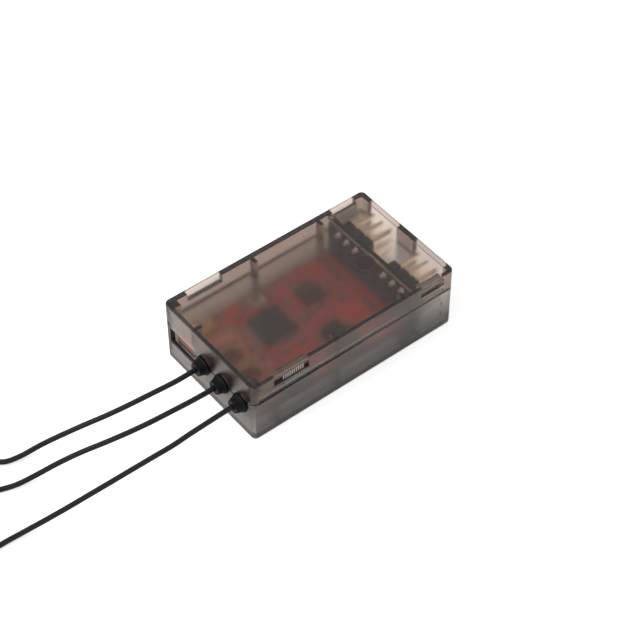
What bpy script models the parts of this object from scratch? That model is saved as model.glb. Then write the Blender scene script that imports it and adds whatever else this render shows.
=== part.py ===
"""Eight channel radio control receiver in a clear smoked case.

A two part moulded case holds a circuit board and an upright port board.
The port board carries eight three pin servo ports, in two stacks of four.
Three antenna leads leave the other end through rubber grommets.

Axes: the servo ports look along +X, the antennas leave along -X, up is +Z.
The origin is the middle of the case's footprint, on the surface it rests on.
"""
import math

import bmesh
import bpy
from mathutils import Matrix, Vector

MM = 0.001

# Case
CASE_LENGTH = 46.4 * MM
CASE_WIDTH = 26.6 * MM
CASE_HEIGHT = 14.2 * MM
LID_DEPTH = 4.9 * MM  # from the top of the case down to the seam of the two shells
WALL = 0.95 * MM
TOP_PLATE = 0.95 * MM
FLOOR_PLATE = 1.0 * MM
CORNER_RADIUS = 1.0 * MM
INNER_RADIUS = 0.5 * MM  # of the shells' corners inside
EDGE_ROUND = 0.35 * MM
SEAM_GAP = 0.12 * MM
LIP_HEIGHT = 0.65 * MM  # inner lip of the lower shell
LIP_THICKNESS = 0.4 * MM
PLAY = 0.12 * MM  # clearance between a part and what it seats on
BURY = 0.3 * MM  # how deep a rib is sunk into the wall that it grows from
TONGUE_INSET = 1.7 * MM  # from each side to the upper shell's tongue, which reaches down to the grommets
CUT_MARGIN = 2.0 * MM  # how far a cutter reaches past what it cuts

# Windows in the long walls
WINDOW_DEPTH = 1.05 * MM  # from the top of the case down to the window
WINDOW_OPENING = 1.6 * MM
VENT_START = 4.7 * MM  # from the antenna end to the near edge of the vent window
VENT_LENGTH = 7.8 * MM
LATCH_INSET = 2.4 * MM  # from the port end to the latch window
LATCH_LENGTH = 5.6 * MM

# Latch hooks on the lower shell
HOOK_THICKNESS = 0.6 * MM
HOOK_BARB = 0.6 * MM
HOOK_SIDE_GAP = 0.3 * MM
HOOK_SLACK = 0.5 * MM  # under the barb, down to the window's sill
HOOK_ROOT = 3.1 * MM  # how far below the seam the hook leaves the wall

# Ribs and posts
RIB_THICKNESS = 0.8 * MM
RIB_DEPTH = 1.3 * MM
MIDDLE_RIB_X = -3.9 * MM
PORT_RIB_INSET = 2.2 * MM  # from the port board
LEDGE_DEPTH = 1.5 * MM
LEDGE_THICKNESS = 1.0 * MM
ANTENNA_LEDGE_INSET = 5.6 * MM  # from the end of the case
POST_SIDE = 1.35 * MM
GATE_RADIUS = 1.9 * MM  # round gate mark under the lid
GATE_DEPTH = 0.35 * MM
GATE_INSET = 2.2 * MM  # from the port board
GATE_Y = -1.4 * MM

# Status window in the antenna end
NOTCH_FROM_GROMMET = 3.0 * MM
NOTCH_HEAD = 0.65 * MM  # from the axis of the grommets up to the top of the notch
PANEL_THICKNESS = 0.6 * MM  # thinned wall above and below the notch

# Boards
BOARD_THICKNESS = 1.0 * MM
BOARD_DROP = 2.75 * MM  # from the axis of the grommets down to the main board
BOARD_CORNER = 0.8 * MM
BOARD_SIDE_GAP = 0.7 * MM
BOARD_END_GAP = 0.2 * MM  # at the antenna end
PORT_BOARD_THICKNESS = 1.0 * MM
PORT_BOARD_HEAD = 1.05 * MM  # room above the port board
PORT_BOARD_SIDE_GAP = 0.3 * MM

# Servo ports
PITCH = 2.54 * MM
PIN_SIDE = 0.64 * MM
PIN_TAPER = 0.35 * MM
PINS_IN_ROW = 3
LOWEST_ROW = 3.38 * MM
FAR_PORT_MARGIN = 2.85 * MM  # from the side of the case to the port
NEAR_PORT_MARGIN = 2.05 * MM
BLOCK_DEPTH = 2.05 * MM
BLOCK_CHAMFER = 0.45 * MM
ROW_GAP = 0.08 * MM
PORT_RECESS = 6.15 * MM  # from the end of the case in to the pin blocks
PIN_RECESS = 0.5 * MM  # from the end of the case in to the pin tips
PIN_TAIL = 0.8 * MM  # behind the port board
PORT_WIDTH = 8.5 * MM
PORT_SILL = 1.7 * MM
PORT_DEPTH = 1.2 * MM  # from the top of the case down to the port
PIN_HOLE_GAP = 0.06 * MM

# Antenna grommets
LEAD_DIAMETER = 1.0 * MM
LEAD_GAP = 0.1 * MM
GROMMET_DROP = 1.45 * MM  # from the seam down to the axis of the grommets
GROMMET_PITCH = 5.5 * MM
GROMMET_INSET = 3.4 * MM  # from the near side to the nearest grommet
NECK_DIAMETER = 2.9 * MM
COLLAR_DIAMETER = 3.9 * MM
COLLAR_LENGTH = 0.8 * MM
FLANGE_DIAMETER = 4.6 * MM  # inside the case
FLANGE_LENGTH = 0.8 * MM
NOZZLE_DIAMETER = 3.1 * MM
NOZZLE_TIP_DIAMETER = 2.7 * MM
NOZZLE_LENGTH = 1.1 * MM

# Antenna plugs on the board
PLUG_INSET = 6.2 * MM  # from the end of the case
PLUG_DIAMETER = 3.0 * MM
PLUG_WALL = 0.3 * MM
PLUG_HEIGHT = 1.5 * MM
BARREL_LENGTH = 1.5 * MM
BARREL_WIDTH = 1.9 * MM
SOCKET_SIDE = 2.6 * MM
SOCKET_RING = 1.9 * MM
SOCKET_RING_WALL = 0.25 * MM
SOCKET_RING_HEIGHT = 0.7 * MM
LEAD_SEAT = 0.9 * MM  # how far a lead goes into its plug

# Chips and other parts on the board
CONTROLLER_SIDE = 7.0 * MM
CONTROLLER_HEIGHT = 1.4 * MM
CONTROLLER_PITCH = 0.5 * MM
CONTROLLER_LEADS = 12
CONTROLLER_X = -7.3 * MM
CONTROLLER_SIDE_INSET = 11.1 * MM  # from the far side of the case
CHIP_LEAD_WIDTH = 0.22 * MM
CHIP_LEAD_REACH = 1.0 * MM
CHIP_LEAD_THICKNESS = 0.15 * MM
CHIP_STANDOFF = 0.1 * MM
CHIP_EDGE = 0.12 * MM
RADIO_SIDE = 4.0 * MM
RADIO_HEIGHT = 0.9 * MM
RADIO_X = 3.3 * MM
RADIO_SIDE_INSET = 9.1 * MM
CRYSTAL_SIZE = (3.2 * MM, 2.5 * MM, 0.8 * MM)
CRYSTAL_X = -5.6 * MM
CRYSTAL_SIDE_INSET = 4.4 * MM
TANTALUM_SIZE = (3.5 * MM, 2.8 * MM, 1.9 * MM)
TANTALUM_END_INSET = 5.7 * MM
TANTALUM_SIDE_INSET = 4.4 * MM
TANTALUM_FOOT = 0.35 * MM
REGULATOR_SIZE = (3.5 * MM, 6.5 * MM, 1.6 * MM)
REGULATOR_TAB = (1.6 * MM, 3.0 * MM, 0.3 * MM)
REGULATOR_LEG_PITCH = 2.3 * MM
REGULATOR_LEG_WIDTH = 0.7 * MM
REGULATOR_X = 0.85 * MM
REGULATOR_INSET = 5.7 * MM  # from the near side of the case
CONNECTOR_LENGTH = 5.8 * MM
CONNECTOR_DEPTH = 1.6 * MM
CONNECTOR_SHIFT = 2.3 * MM  # from the middle of the vent window
CONNECTOR_INSET = 1.8 * MM  # from the near side to the connector
CONNECTOR_DROP = 1.05 * MM  # from the window's sill
CONTACT_PITCH = 0.5 * MM
CONTACTS = 10
CONTACT_SLOT = 0.26 * MM
CONTACT_LENGTH = 2.2 * MM
LED_SIZE = (1.6 * MM, 0.8 * MM, 0.7 * MM)
LED_EDGE_GAP = 0.5 * MM
LED_START = 0.2 * MM  # from the near edge of the notch to the first light
LED_SPACING = 1.8 * MM
LEDS = 2

# Antenna leads. Each point: out from the case's end, sideways from the grommet, share of the drop left.
LEAD_ROUTES = (
    (
        (6.8, 0.14, 0.979), (10.8, 0.94, 0.891), (14.8, 1.98, 0.761), (18.8, 3.28, 0.604), (22.8, 4.84, 0.44),
        (26.8, 6.28, 0.282), (30.8, 7.44, 0.146), (34.8, 8.05, 0.057), (37.9, 9.2, 0.012), (39.4, 12.2, 0.0),
        (39.7, 17.3, 0.0), (40.3, 21.73, 0.0),
    ),
    (
        (7.2, 0.2, 0.986), (10.8, 0.84, 0.911), (14.8, 1.72, 0.802), (18.8, 2.94, 0.665), (22.8, 4.38, 0.522),
        (26.8, 5.95, 0.371), (30.8, 7.15, 0.234), (34.8, 7.95, 0.118), (38.4, 8.65, 0.043),
        (41.0, 9.6, 0.009), (43.7, 10.7, 0.0),
    ),
    (
        (7.8, -0.05, 0.986), (11.3, 0.05, 0.938), (14.8, 0.28, 0.85), (18.8, 0.84, 0.747), (22.8, 1.5, 0.624),
        (26.8, 2.14, 0.501), (30.8, 2.8, 0.378), (34.8, 3.42, 0.262), (38.8, 4.06, 0.159), (42.8, 4.7, 0.07),
        (46.3, 5.15, 0.016), (49.4, 5.25, 0.0),
    ),
)
LEAD_STRAIGHT = 4.0 * MM  # level run out of the case before a lead droops
LEAD_STRAIGHT_STEPS = 4
LEAD_REST_GAP = 0.035 * MM  # under a lead that lies on the table
LEAD_POINT_SPACING = 2.6 * MM
COIL_PLACES = ((45.8, 26.3), (47.0, 16.9), (53.8, 10.9))  # out from the case's end, sideways from the grommet
COIL_RADIUS = 5.6 * MM  # middle of the bundle of turns
COIL_WIDTH = 1.2 * MM
COIL_HEIGHT = 3.9 * MM

# Worked out from the values above
END_X = CASE_LENGTH / 2
SIDE_Y = CASE_WIDTH / 2
INSIDE_X = END_X - WALL
INSIDE_Y = SIDE_Y - WALL
CEILING = CASE_HEIGHT - TOP_PLATE
SEAM_HEIGHT = CASE_HEIGHT - LID_DEPTH
GROMMET_HEIGHT = SEAM_HEIGHT - GROMMET_DROP
BOARD_TOP = GROMMET_HEIGHT - BOARD_DROP
TONGUE_WIDTH = CASE_WIDTH - 2 * TONGUE_INSET
WINDOW_TOP = CASE_HEIGHT - WINDOW_DEPTH
WINDOW_SILL = WINDOW_TOP - WINDOW_OPENING
VENT_X = -END_X + VENT_START + VENT_LENGTH / 2
LATCH_X = END_X - LATCH_INSET - LATCH_LENGTH / 2
BLOCK_FRONT_X = END_X - PORT_RECESS
BLOCK_BACK_X = BLOCK_FRONT_X - BLOCK_DEPTH
PORT_BOARD_FRONT_X = BLOCK_BACK_X - PLAY
PORT_BOARD_BACK_X = PORT_BOARD_FRONT_X - PORT_BOARD_THICKNESS
PORT_BOARD_TOP = CEILING - PORT_BOARD_HEAD
PORT_RIB_X = PORT_BOARD_BACK_X - PORT_RIB_INSET
ANTENNA_LEDGE_X = ANTENNA_LEDGE_INSET - END_X
PORT_TOP = CASE_HEIGHT - PORT_DEPTH
ROWS = int((PORT_TOP - PORT_SILL) / PITCH)
STACK_YS = (SIDE_Y - FAR_PORT_MARGIN - PORT_WIDTH / 2, PORT_WIDTH / 2 + NEAR_PORT_MARGIN - SIDE_Y)
GROMMET_YS = [GROMMET_INSET - SIDE_Y + GROMMET_PITCH * step for step in (2, 1, 0)]
NOTCH_LOW_Y = GROMMET_YS[0] + NOTCH_FROM_GROMMET
NOTCH_HIGH_Y = SIDE_Y - TONGUE_INSET
BARREL_HEIGHT = LEAD_DIAMETER + 2 * LEAD_GAP + 2 * PLUG_WALL
PLUG_X = PLUG_INSET - END_X
PLUG_LOW = GROMMET_HEIGHT - BARREL_HEIGHT / 2 - PLUG_WALL
BARREL_END_X = PLUG_X - PLUG_DIAMETER / 2 - BARREL_LENGTH
LEAD_REST = LEAD_DIAMETER / 2 + LEAD_REST_GAP

SMOKED = ("smoked_plastic", (0.16, 0.145, 0.135), 0.12, 0.0)
BOARD_RED = ("red_board", (0.42, 0.045, 0.03), 0.4, 0.0)
BOARD_DARK = ("dark_board", (0.055, 0.038, 0.034), 0.4, 0.0)
BLOCK_BLACK = ("black_nylon", (0.02, 0.02, 0.022), 0.45, 0.0)
PIN_GOLD = ("gold_plate", (0.85, 0.66, 0.33), 0.25, 1.0)
RUBBER = ("black_rubber", (0.018, 0.018, 0.02), 0.6, 0.0)
LEAD_JACKET = ("lead_jacket", (0.03, 0.03, 0.032), 0.42, 0.0)
CHIP_BLACK = ("chip_resin", (0.03, 0.03, 0.032), 0.5, 0.0)
NICKEL = ("nickel", (0.72, 0.7, 0.66), 0.28, 1.0)
TANTALUM_YELLOW = ("tantalum_yellow", (0.78, 0.55, 0.12), 0.4, 0.0)
LED_LENS = ("led_lens", (0.85, 0.82, 0.7), 0.2, 0.0)


def clear_scene():
    for old in list(bpy.data.objects):
        bpy.data.objects.remove(old, do_unlink=True)


def new_collection(name):
    collection = bpy.data.collections.new(name)
    bpy.context.scene.collection.children.link(collection)
    return collection


def material(look):
    name, colour, roughness, metallic = look
    made = bpy.data.materials.get(name)
    if made is None:
        made = bpy.data.materials.new(name)
        made.use_nodes = True
        shader = made.node_tree.nodes["Principled BSDF"]
        shader.inputs["Base Color"].default_value = (*colour, 1.0)
        shader.inputs["Roughness"].default_value = roughness
        shader.inputs["Metallic"].default_value = metallic
        made.diffuse_color = (*colour, 1.0)
    return made


def add_object(name, mesh, look=None, collection=None):
    """Link a mesh as a named part, or as a cutter where it has no look."""
    item = bpy.data.objects.new(name, mesh)
    (collection or (PARTS if look else CUTTERS)).objects.link(item)
    if look:
        if not mesh.materials:
            mesh.materials.append(material(look))
    else:
        item.hide_render = True
        item.display_type = "WIRE"
    return item


def mesh_from(builder, name):
    mesh = bpy.data.meshes.new(name)
    builder.to_mesh(mesh)
    builder.free()
    return mesh


def box(name, low, high, look=None, edge=0.0):
    """A rectangular block between two corners, with its edges rounded if asked."""
    low, high = Vector(low), Vector(high)
    builder = bmesh.new()
    bmesh.ops.create_cube(builder, size=1.0)
    bmesh.ops.scale(builder, vec=high - low, verts=builder.verts)
    if edge:
        bmesh.ops.bevel(
            builder, geom=list(builder.edges), offset=edge, segments=1, profile=0.5, affect="EDGES"
        )
    item = add_object(name, mesh_from(builder, name), look)
    item.location = (low + high) / 2
    return item


def side_box(name, side, along, across, up):
    """A block on one long side of the case: across gives distances from the middle plane."""
    near, far = sorted(side * y for y in across)
    return box(name, (along[0], near, up[0]), (along[1], far, up[1]))


def rounded_rectangle(length, width, radius, steps=5):
    """Corner arcs of a rectangle about the origin, as outline points."""
    points = []
    for turn, (side_x, side_y) in enumerate(((1, 1), (-1, 1), (-1, -1), (1, -1))):
        for step in range(steps + 1):
            angle = math.pi / 2 * (turn + step / steps)
            points.append((
                side_x * (length / 2 - radius) + radius * math.cos(angle),
                side_y * (width / 2 - radius) + radius * math.sin(angle),
            ))
    return points


def circle(radius, steps):
    return [
        (radius * math.cos(2 * math.pi * step / steps), radius * math.sin(2 * math.pi * step / steps))
        for step in range(steps)
    ]


def square(side, centre_x=0.0, centre_y=0.0):
    half = side / 2
    corners = ((-half, -half), (half, -half), (half, half), (-half, half))
    return [(centre_x + x, centre_y + y) for x, y in corners]


def slab(name, outlines, thickness, look=None):
    """A flat outline with any holes, extruded about its own middle plane."""
    curve = bpy.data.curves.new(name, "CURVE")
    curve.dimensions = "2D"
    curve.fill_mode = "BOTH"
    curve.extrude = thickness / 2
    for outline in outlines:
        spline = curve.splines.new("POLY")
        spline.points.add(len(outline) - 1)
        for point, (x, y) in zip(spline.points, outline):
            point.co = (x, y, 0.0, 1.0)
        spline.use_cyclic_u = True
    return meshed_curve(name, curve, look)


def meshed_curve(name, curve, look=None):
    """Turn a curve into a closed mesh object and drop the curve."""
    holder = bpy.data.objects.new(name + "_curve", curve)
    bpy.context.scene.collection.objects.link(holder)
    bpy.context.view_layer.update()
    evaluated = holder.evaluated_get(bpy.context.evaluated_depsgraph_get())
    mesh = bpy.data.meshes.new_from_object(evaluated)
    bpy.data.objects.remove(holder, do_unlink=True)
    bpy.data.curves.remove(curve)
    builder = bmesh.new()
    builder.from_mesh(mesh)
    bmesh.ops.remove_doubles(builder, verts=builder.verts, dist=0.0001 * MM)
    bmesh.ops.recalc_face_normals(builder, faces=builder.faces)
    builder.to_mesh(mesh)
    builder.free()
    mesh.name = name
    mesh.materials.clear()
    return add_object(name, mesh, look)


def flat_slab(name, outlines, low, high, look=None):
    """A slab that lies level between two heights."""
    item = slab(name, outlines, high - low, look)
    item.location.z = (low + high) / 2
    return item


def rod(name, centre, radius, length, steps, look=None):
    """A round bar along X."""
    item = slab(name, [circle(radius, steps)], length, look)
    face_along_x(item, centre)
    return item


def face_along_x(item, centre):
    """Stand a slab up: its own X goes along Y, its own Y goes up."""
    item.rotation_euler = (math.pi / 2, 0.0, math.pi / 2)
    item.location = centre


def turned(name, profile, centre, look, steps=20):
    """Turn a closed profile of (radius, height) points about a lying axis along -X."""
    builder = bmesh.new()
    corners = [builder.verts.new((radius, 0.0, height)) for radius, height in profile]
    for here, after in zip(corners, corners[1:] + corners[:1]):
        builder.edges.new((here, after))
    item = add_object(name, mesh_from(builder, name), look)
    screw = item.modifiers.new("turn", "SCREW")
    screw.axis = "Z"
    screw.steps = steps
    screw.render_steps = steps
    screw.use_merge_vertices = True
    screw.merge_threshold = 0.0001 * MM
    item.rotation_euler = (0.0, -math.pi / 2, 0.0)
    item.location = centre
    return item


def combine(item, tool, operation="DIFFERENCE"):
    modifier = item.modifiers.new(tool.name, "BOOLEAN")
    modifier.operation = operation
    modifier.object = tool
    modifier.solver = "EXACT"


def cut(item, *tools):
    for tool in tools:
        combine(item, tool)


def join(item, *tools):
    for tool in tools:
        combine(item, tool, "UNION")


def round_rim(item, height, offset):
    """Round the edges of a level rim of a slab, before anything is cut from it."""
    builder = bmesh.new()
    builder.from_mesh(item.data)
    local = height - item.location.z
    rim = [
        edge for edge in builder.edges
        if all(abs(vert.co.z - local) < 0.001 * MM for vert in edge.verts)
        and len({round(face.normal.z, 3) for face in edge.link_faces}) > 1
    ]
    bmesh.ops.bevel(builder, geom=rim, offset=offset, segments=2, profile=0.5, affect="EDGES")
    builder.to_mesh(item.data)
    builder.free()


def case_outline(inset, radius):
    return rounded_rectangle(CASE_LENGTH - 2 * inset, CASE_WIDTH - 2 * inset, radius)


def port_cutters(prefix, low, high):
    """The two servo port openings in the end wall, between two heights."""
    return [
        box(
            f"{prefix}_port_{number}",
            (INSIDE_X - BURY, centre - PORT_WIDTH / 2, low),
            (END_X + WALL, centre + PORT_WIDTH / 2, high),
        )
        for number, centre in enumerate(STACK_YS, 1)
    ]


def window_cutters():
    """A vent and a latch window in each long wall."""
    made = []
    for kind, middle, length in (("vent", VENT_X, VENT_LENGTH), ("latch", LATCH_X, LATCH_LENGTH)):
        along = (middle - length / 2, middle + length / 2)
        for side, word in ((1, "far"), (-1, "near")):
            across = (INSIDE_Y - BURY, SIDE_Y + WALL)
            made.append(side_box(f"{kind}_window_{word}", side, along, across, (WINDOW_SILL, WINDOW_TOP)))
    return made


def grommet_hole_cutters(prefix):
    return [
        rod(f"{prefix}_grommet_hole_{number}", (-END_X + WALL / 2, y, GROMMET_HEIGHT),
            NECK_DIAMETER / 2 + PLAY, 3 * WALL, 24)
        for number, y in enumerate(GROMMET_YS, 1)
    ]


def hold_down_rib(name, x, side):
    """A rib down the lid's long wall, stepped in past the tray's lip to reach the board."""
    inner, back = INSIDE_Y - RIB_DEPTH, INSIDE_Y - PLAY
    step = SEAM_HEIGHT + LIP_HEIGHT + SEAM_GAP + PLAY
    profile = [
        (inner, BOARD_TOP + PLAY), (back, BOARD_TOP + PLAY), (back, step),
        (INSIDE_Y + BURY, step), (INSIDE_Y + BURY, CEILING + BURY), (inner, CEILING + BURY),
    ]
    rib = slab(name, [[(side * y, z) for y, z in profile]], RIB_THICKNESS)
    face_along_x(rib, (x, 0.0, 0.0))
    return rib


def ledge(name, x, side):
    """A rib on the tray's long wall that the main board lies on."""
    along = (x - LEDGE_THICKNESS / 2, x + LEDGE_THICKNESS / 2)
    across = (INSIDE_Y - LEDGE_DEPTH, INSIDE_Y + BURY)
    return side_box(name, side, along, across, (FLOOR_PLATE - BURY, BOARD_TOP - BOARD_THICKNESS - PLAY))


def seam_outline(start, inset):
    """The case's outline from a little inside the antenna end, for the lip and its rebate."""
    length = END_X - inset - start
    outline = rounded_rectangle(length, CASE_WIDTH - 2 * inset, CORNER_RADIUS - inset)
    return [(x + start + length / 2, y) for x, y in outline]


def case_top():
    """Upper shell: a shallow lid whose antenna end reaches down to the grommets."""
    tongue_low = GROMMET_HEIGHT + SEAM_GAP / 2
    seam_low = SEAM_HEIGHT + SEAM_GAP / 2
    below = tongue_low - CUT_MARGIN
    shell = flat_slab("case_top", [case_outline(0.0, CORNER_RADIUS)], tongue_low, CASE_HEIGHT, SMOKED)
    round_rim(shell, CASE_HEIGHT, EDGE_ROUND)
    bay_x, bay_y = -INSIDE_X + BURY, TONGUE_WIDTH / 2
    skirt = [
        (-CASE_LENGTH, bay_y), (bay_x, bay_y), (bay_x, -bay_y), (-CASE_LENGTH, -bay_y),
        (-CASE_LENGTH, -CASE_WIDTH), (CASE_LENGTH, -CASE_WIDTH), (CASE_LENGTH, CASE_WIDTH),
        (-CASE_LENGTH, CASE_WIDTH),
    ]
    rebate = seam_outline(-INSIDE_X + BURY, WALL - LIP_THICKNESS - SEAM_GAP)
    cut(
        shell,
        flat_slab("top_cavity", [case_outline(WALL, INNER_RADIUS)], below, CEILING),
        flat_slab("skirt_trim", [skirt], below, seam_low),
        flat_slab("lip_rebate", [rebate], below, SEAM_HEIGHT + LIP_HEIGHT + SEAM_GAP),
        *port_cutters("top", below, PORT_TOP),
        *window_cutters(),
        *grommet_hole_cutters("top"),
        box("panel_recess", (-END_X + PANEL_THICKNESS, NOTCH_LOW_Y, below),
            (-INSIDE_X + BURY, NOTCH_HIGH_Y, CEILING - BURY)),
        box("notch_head", (-CASE_LENGTH, NOTCH_LOW_Y, below),
            (-INSIDE_X + BURY, CASE_WIDTH, GROMMET_HEIGHT + NOTCH_HEAD)),
    )
    for x, word in ((MIDDLE_RIB_X, "middle"), (PORT_RIB_X, "port")):
        join(shell, hold_down_rib(f"{word}_rib_far", x, 1), hold_down_rib(f"{word}_rib_near", x, -1))
    board_middle = (PORT_BOARD_BACK_X + PORT_BOARD_FRONT_X) / 2
    join(
        shell,
        box("end_rib", (-END_X + PANEL_THICKNESS - BURY, NOTCH_LOW_Y + PLAY, seam_low),
            (-INSIDE_X + RIB_DEPTH, NOTCH_LOW_Y + PLAY + RIB_THICKNESS, CEILING + BURY)),
        box("port_board_stop", (board_middle - RIB_THICKNESS / 2, -INSIDE_Y - BURY, PORT_BOARD_TOP + PLAY),
            (board_middle + RIB_THICKNESS / 2, INSIDE_Y + BURY, CEILING + BURY)),
        *corner_posts(SEAM_HEIGHT + LIP_HEIGHT + SEAM_GAP + PLAY),
        gate_mark(),
    )
    return shell


def gate_mark():
    """The low round pad under the lid where the plastic was let into the mould."""
    pad = flat_slab("gate_mark", [circle(GATE_RADIUS, 28)], CEILING - GATE_DEPTH, CEILING + BURY)
    pad.location.x, pad.location.y = PORT_BOARD_BACK_X - GATE_INSET, GATE_Y
    return pad


def corner_posts(low):
    """Square posts that thicken the lid's antenna end corners."""
    along = (-INSIDE_X - BURY, -INSIDE_X + POST_SIDE)
    across = (INSIDE_Y - POST_SIDE, INSIDE_Y + BURY)
    return [
        side_box(f"corner_post_{word}", side, along, across, (low, CEILING + BURY))
        for side, word in ((1, "far"), (-1, "near"))
    ]


def latch_hook(side, word):
    """A springy tab that rises from the lower wall and snaps into the latch window."""
    out = INSIDE_Y - PLAY
    inner = out - HOOK_THICKNESS
    root = SEAM_HEIGHT - HOOK_ROOT
    barb_low = WINDOW_SILL + HOOK_SLACK
    tip = WINDOW_TOP - PLAY
    profile = [
        (inner, root), (INSIDE_Y + BURY, root + HOOK_THICKNESS + PLAY + BURY),
        (INSIDE_Y + BURY, SEAM_HEIGHT + LIP_HEIGHT / 2), (out, SEAM_HEIGHT + LIP_HEIGHT / 2),
        (out, barb_low), (out + HOOK_BARB, barb_low), (out + HOOK_BARB, barb_low + HOOK_BARB / 3),
        (out, tip), (inner, tip),
    ]
    hook = slab(f"latch_hook_{word}", [[(side * y, z) for y, z in profile]], LATCH_LENGTH - 2 * HOOK_SIDE_GAP)
    face_along_x(hook, (LATCH_X, 0.0, 0.0))
    return hook


def case_bottom():
    """Lower shell: a tray with an inner lip, board ledges and latch hooks."""
    seam_high = SEAM_HEIGHT - SEAM_GAP / 2
    lip_top = SEAM_HEIGHT + LIP_HEIGHT
    above = lip_top + CUT_MARGIN
    tray = flat_slab("case_bottom", [case_outline(0.0, CORNER_RADIUS)], 0.0, lip_top, SMOKED)
    round_rim(tray, 0.0, EDGE_ROUND)
    tongue_half = TONGUE_WIDTH / 2 + SEAM_GAP
    lip = seam_outline(-INSIDE_X + 3 * BURY, WALL - LIP_THICKNESS)
    cut(
        tray,
        flat_slab("tray_cavity", [case_outline(WALL, INNER_RADIUS)], FLOOR_PLATE, above),
        flat_slab("outside_lip", [case_outline(-WALL, CORNER_RADIUS + WALL), lip], seam_high, above),
        box("tongue_room", (-CASE_LENGTH, -tongue_half, GROMMET_HEIGHT - SEAM_GAP / 2),
            (-INSIDE_X + BURY, tongue_half, above)),
        box("status_notch", (-CASE_LENGTH, NOTCH_LOW_Y, BOARD_TOP), (-INSIDE_X + BURY, tongue_half, above)),
        box("sill_recess", (-END_X + PANEL_THICKNESS, NOTCH_LOW_Y, FLOOR_PLATE),
            (-INSIDE_X + BURY, NOTCH_HIGH_Y, above)),
        *port_cutters("bottom", PORT_SILL, above),
        *grommet_hole_cutters("bottom"),
    )
    for x, word in ((ANTENNA_LEDGE_X, "antenna"), (MIDDLE_RIB_X, "middle"), (PORT_RIB_X, "port")):
        join(tray, ledge(f"{word}_ledge_far", x, 1), ledge(f"{word}_ledge_near", x, -1))
    slot_low, slot_high = PORT_BOARD_BACK_X - PLAY, PORT_BOARD_FRONT_X + PLAY
    guide_top = LOWEST_ROW - PITCH / 2 - PLAY
    for word, near, far in (
        ("back", slot_low - RIB_THICKNESS, slot_low),
        ("front", slot_high, slot_high + RIB_THICKNESS),
    ):
        join(tray, box(f"port_board_guide_{word}", (near, -INSIDE_Y - BURY, FLOOR_PLATE - BURY),
                       (far, INSIDE_Y + BURY, guide_top)))
    join(tray, latch_hook(1, "far"), latch_hook(-1, "near"))
    return tray


def main_board():
    """Red board that lies on the tray's ledges."""
    left = -INSIDE_X + BOARD_END_GAP
    right = PORT_BOARD_BACK_X - PIN_TAIL - PLAY
    width = 2 * (INSIDE_Y - BOARD_SIDE_GAP)
    outline = rounded_rectangle(right - left, width, BOARD_CORNER, 3)
    board = flat_slab("main_board", [outline], BOARD_TOP - BOARD_THICKNESS, BOARD_TOP, BOARD_RED)
    board.location.x = (left + right) / 2
    return board


def pin_places():
    """Port number, pin number and place of every servo pin, from the lowest row up."""
    for stack, centre in enumerate(STACK_YS):
        for row in range(ROWS):
            for pin in range(PINS_IN_ROW):
                y = centre + (pin - (PINS_IN_ROW - 1) / 2) * PITCH
                yield stack * ROWS + row + 1, pin + 1, y, LOWEST_ROW + row * PITCH


def port_board():
    """Upright board that the servo pins are soldered through."""
    low = FLOOR_PLATE + PLAY
    height = PORT_BOARD_TOP - low
    middle = (low + PORT_BOARD_TOP) / 2
    outline = rounded_rectangle(2 * (INSIDE_Y - PORT_BOARD_SIDE_GAP), height, BOARD_CORNER, 2)
    hole_radius = PIN_SIDE / math.sqrt(2) + PIN_HOLE_GAP
    holes = [
        [(y + x_step, z - middle + y_step) for x_step, y_step in circle(hole_radius, 12)]
        for _, _, y, z in pin_places()
    ]
    board = slab("port_board", [outline, *holes], PORT_BOARD_THICKNESS, BOARD_DARK)
    face_along_x(board, (PORT_BOARD_FRONT_X - PORT_BOARD_THICKNESS / 2, 0.0, middle))
    return board


def port_blocks():
    """One notched pin strip for each of the eight ports, all from one mesh."""
    half = (PITCH - ROW_GAP) / 2
    edge = PITCH / 2 - BLOCK_CHAMFER
    upper, lower = [], []
    for pin in range(PINS_IN_ROW):
        centre = (pin - (PINS_IN_ROW - 1) / 2) * PITCH
        ends = (centre - PITCH / 2, centre - edge, centre + edge, centre + PITCH / 2)
        for y, z in zip(ends, (half - BLOCK_CHAMFER, half, half, half - BLOCK_CHAMFER)):
            if not lower or y - lower[-1][0] > 0.01 * MM:
                lower.append((y, -z))
                upper.append((y, z))
    holes = [
        square(PIN_SIDE + 2 * PIN_HOLE_GAP, (pin - (PINS_IN_ROW - 1) / 2) * PITCH)
        for pin in range(PINS_IN_ROW)
    ]
    first = slab("port_block_1", [lower + upper[::-1], *holes], BLOCK_DEPTH, BLOCK_BLACK)
    number = 1
    for centre in STACK_YS:
        for row in range(ROWS):
            name = f"port_block_{number}"
            block = first if number == 1 else add_object(name, first.data, BLOCK_BLACK)
            face_along_x(block, (BLOCK_FRONT_X - BLOCK_DEPTH / 2, centre, LOWEST_ROW + row * PITCH))
            number += 1


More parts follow.
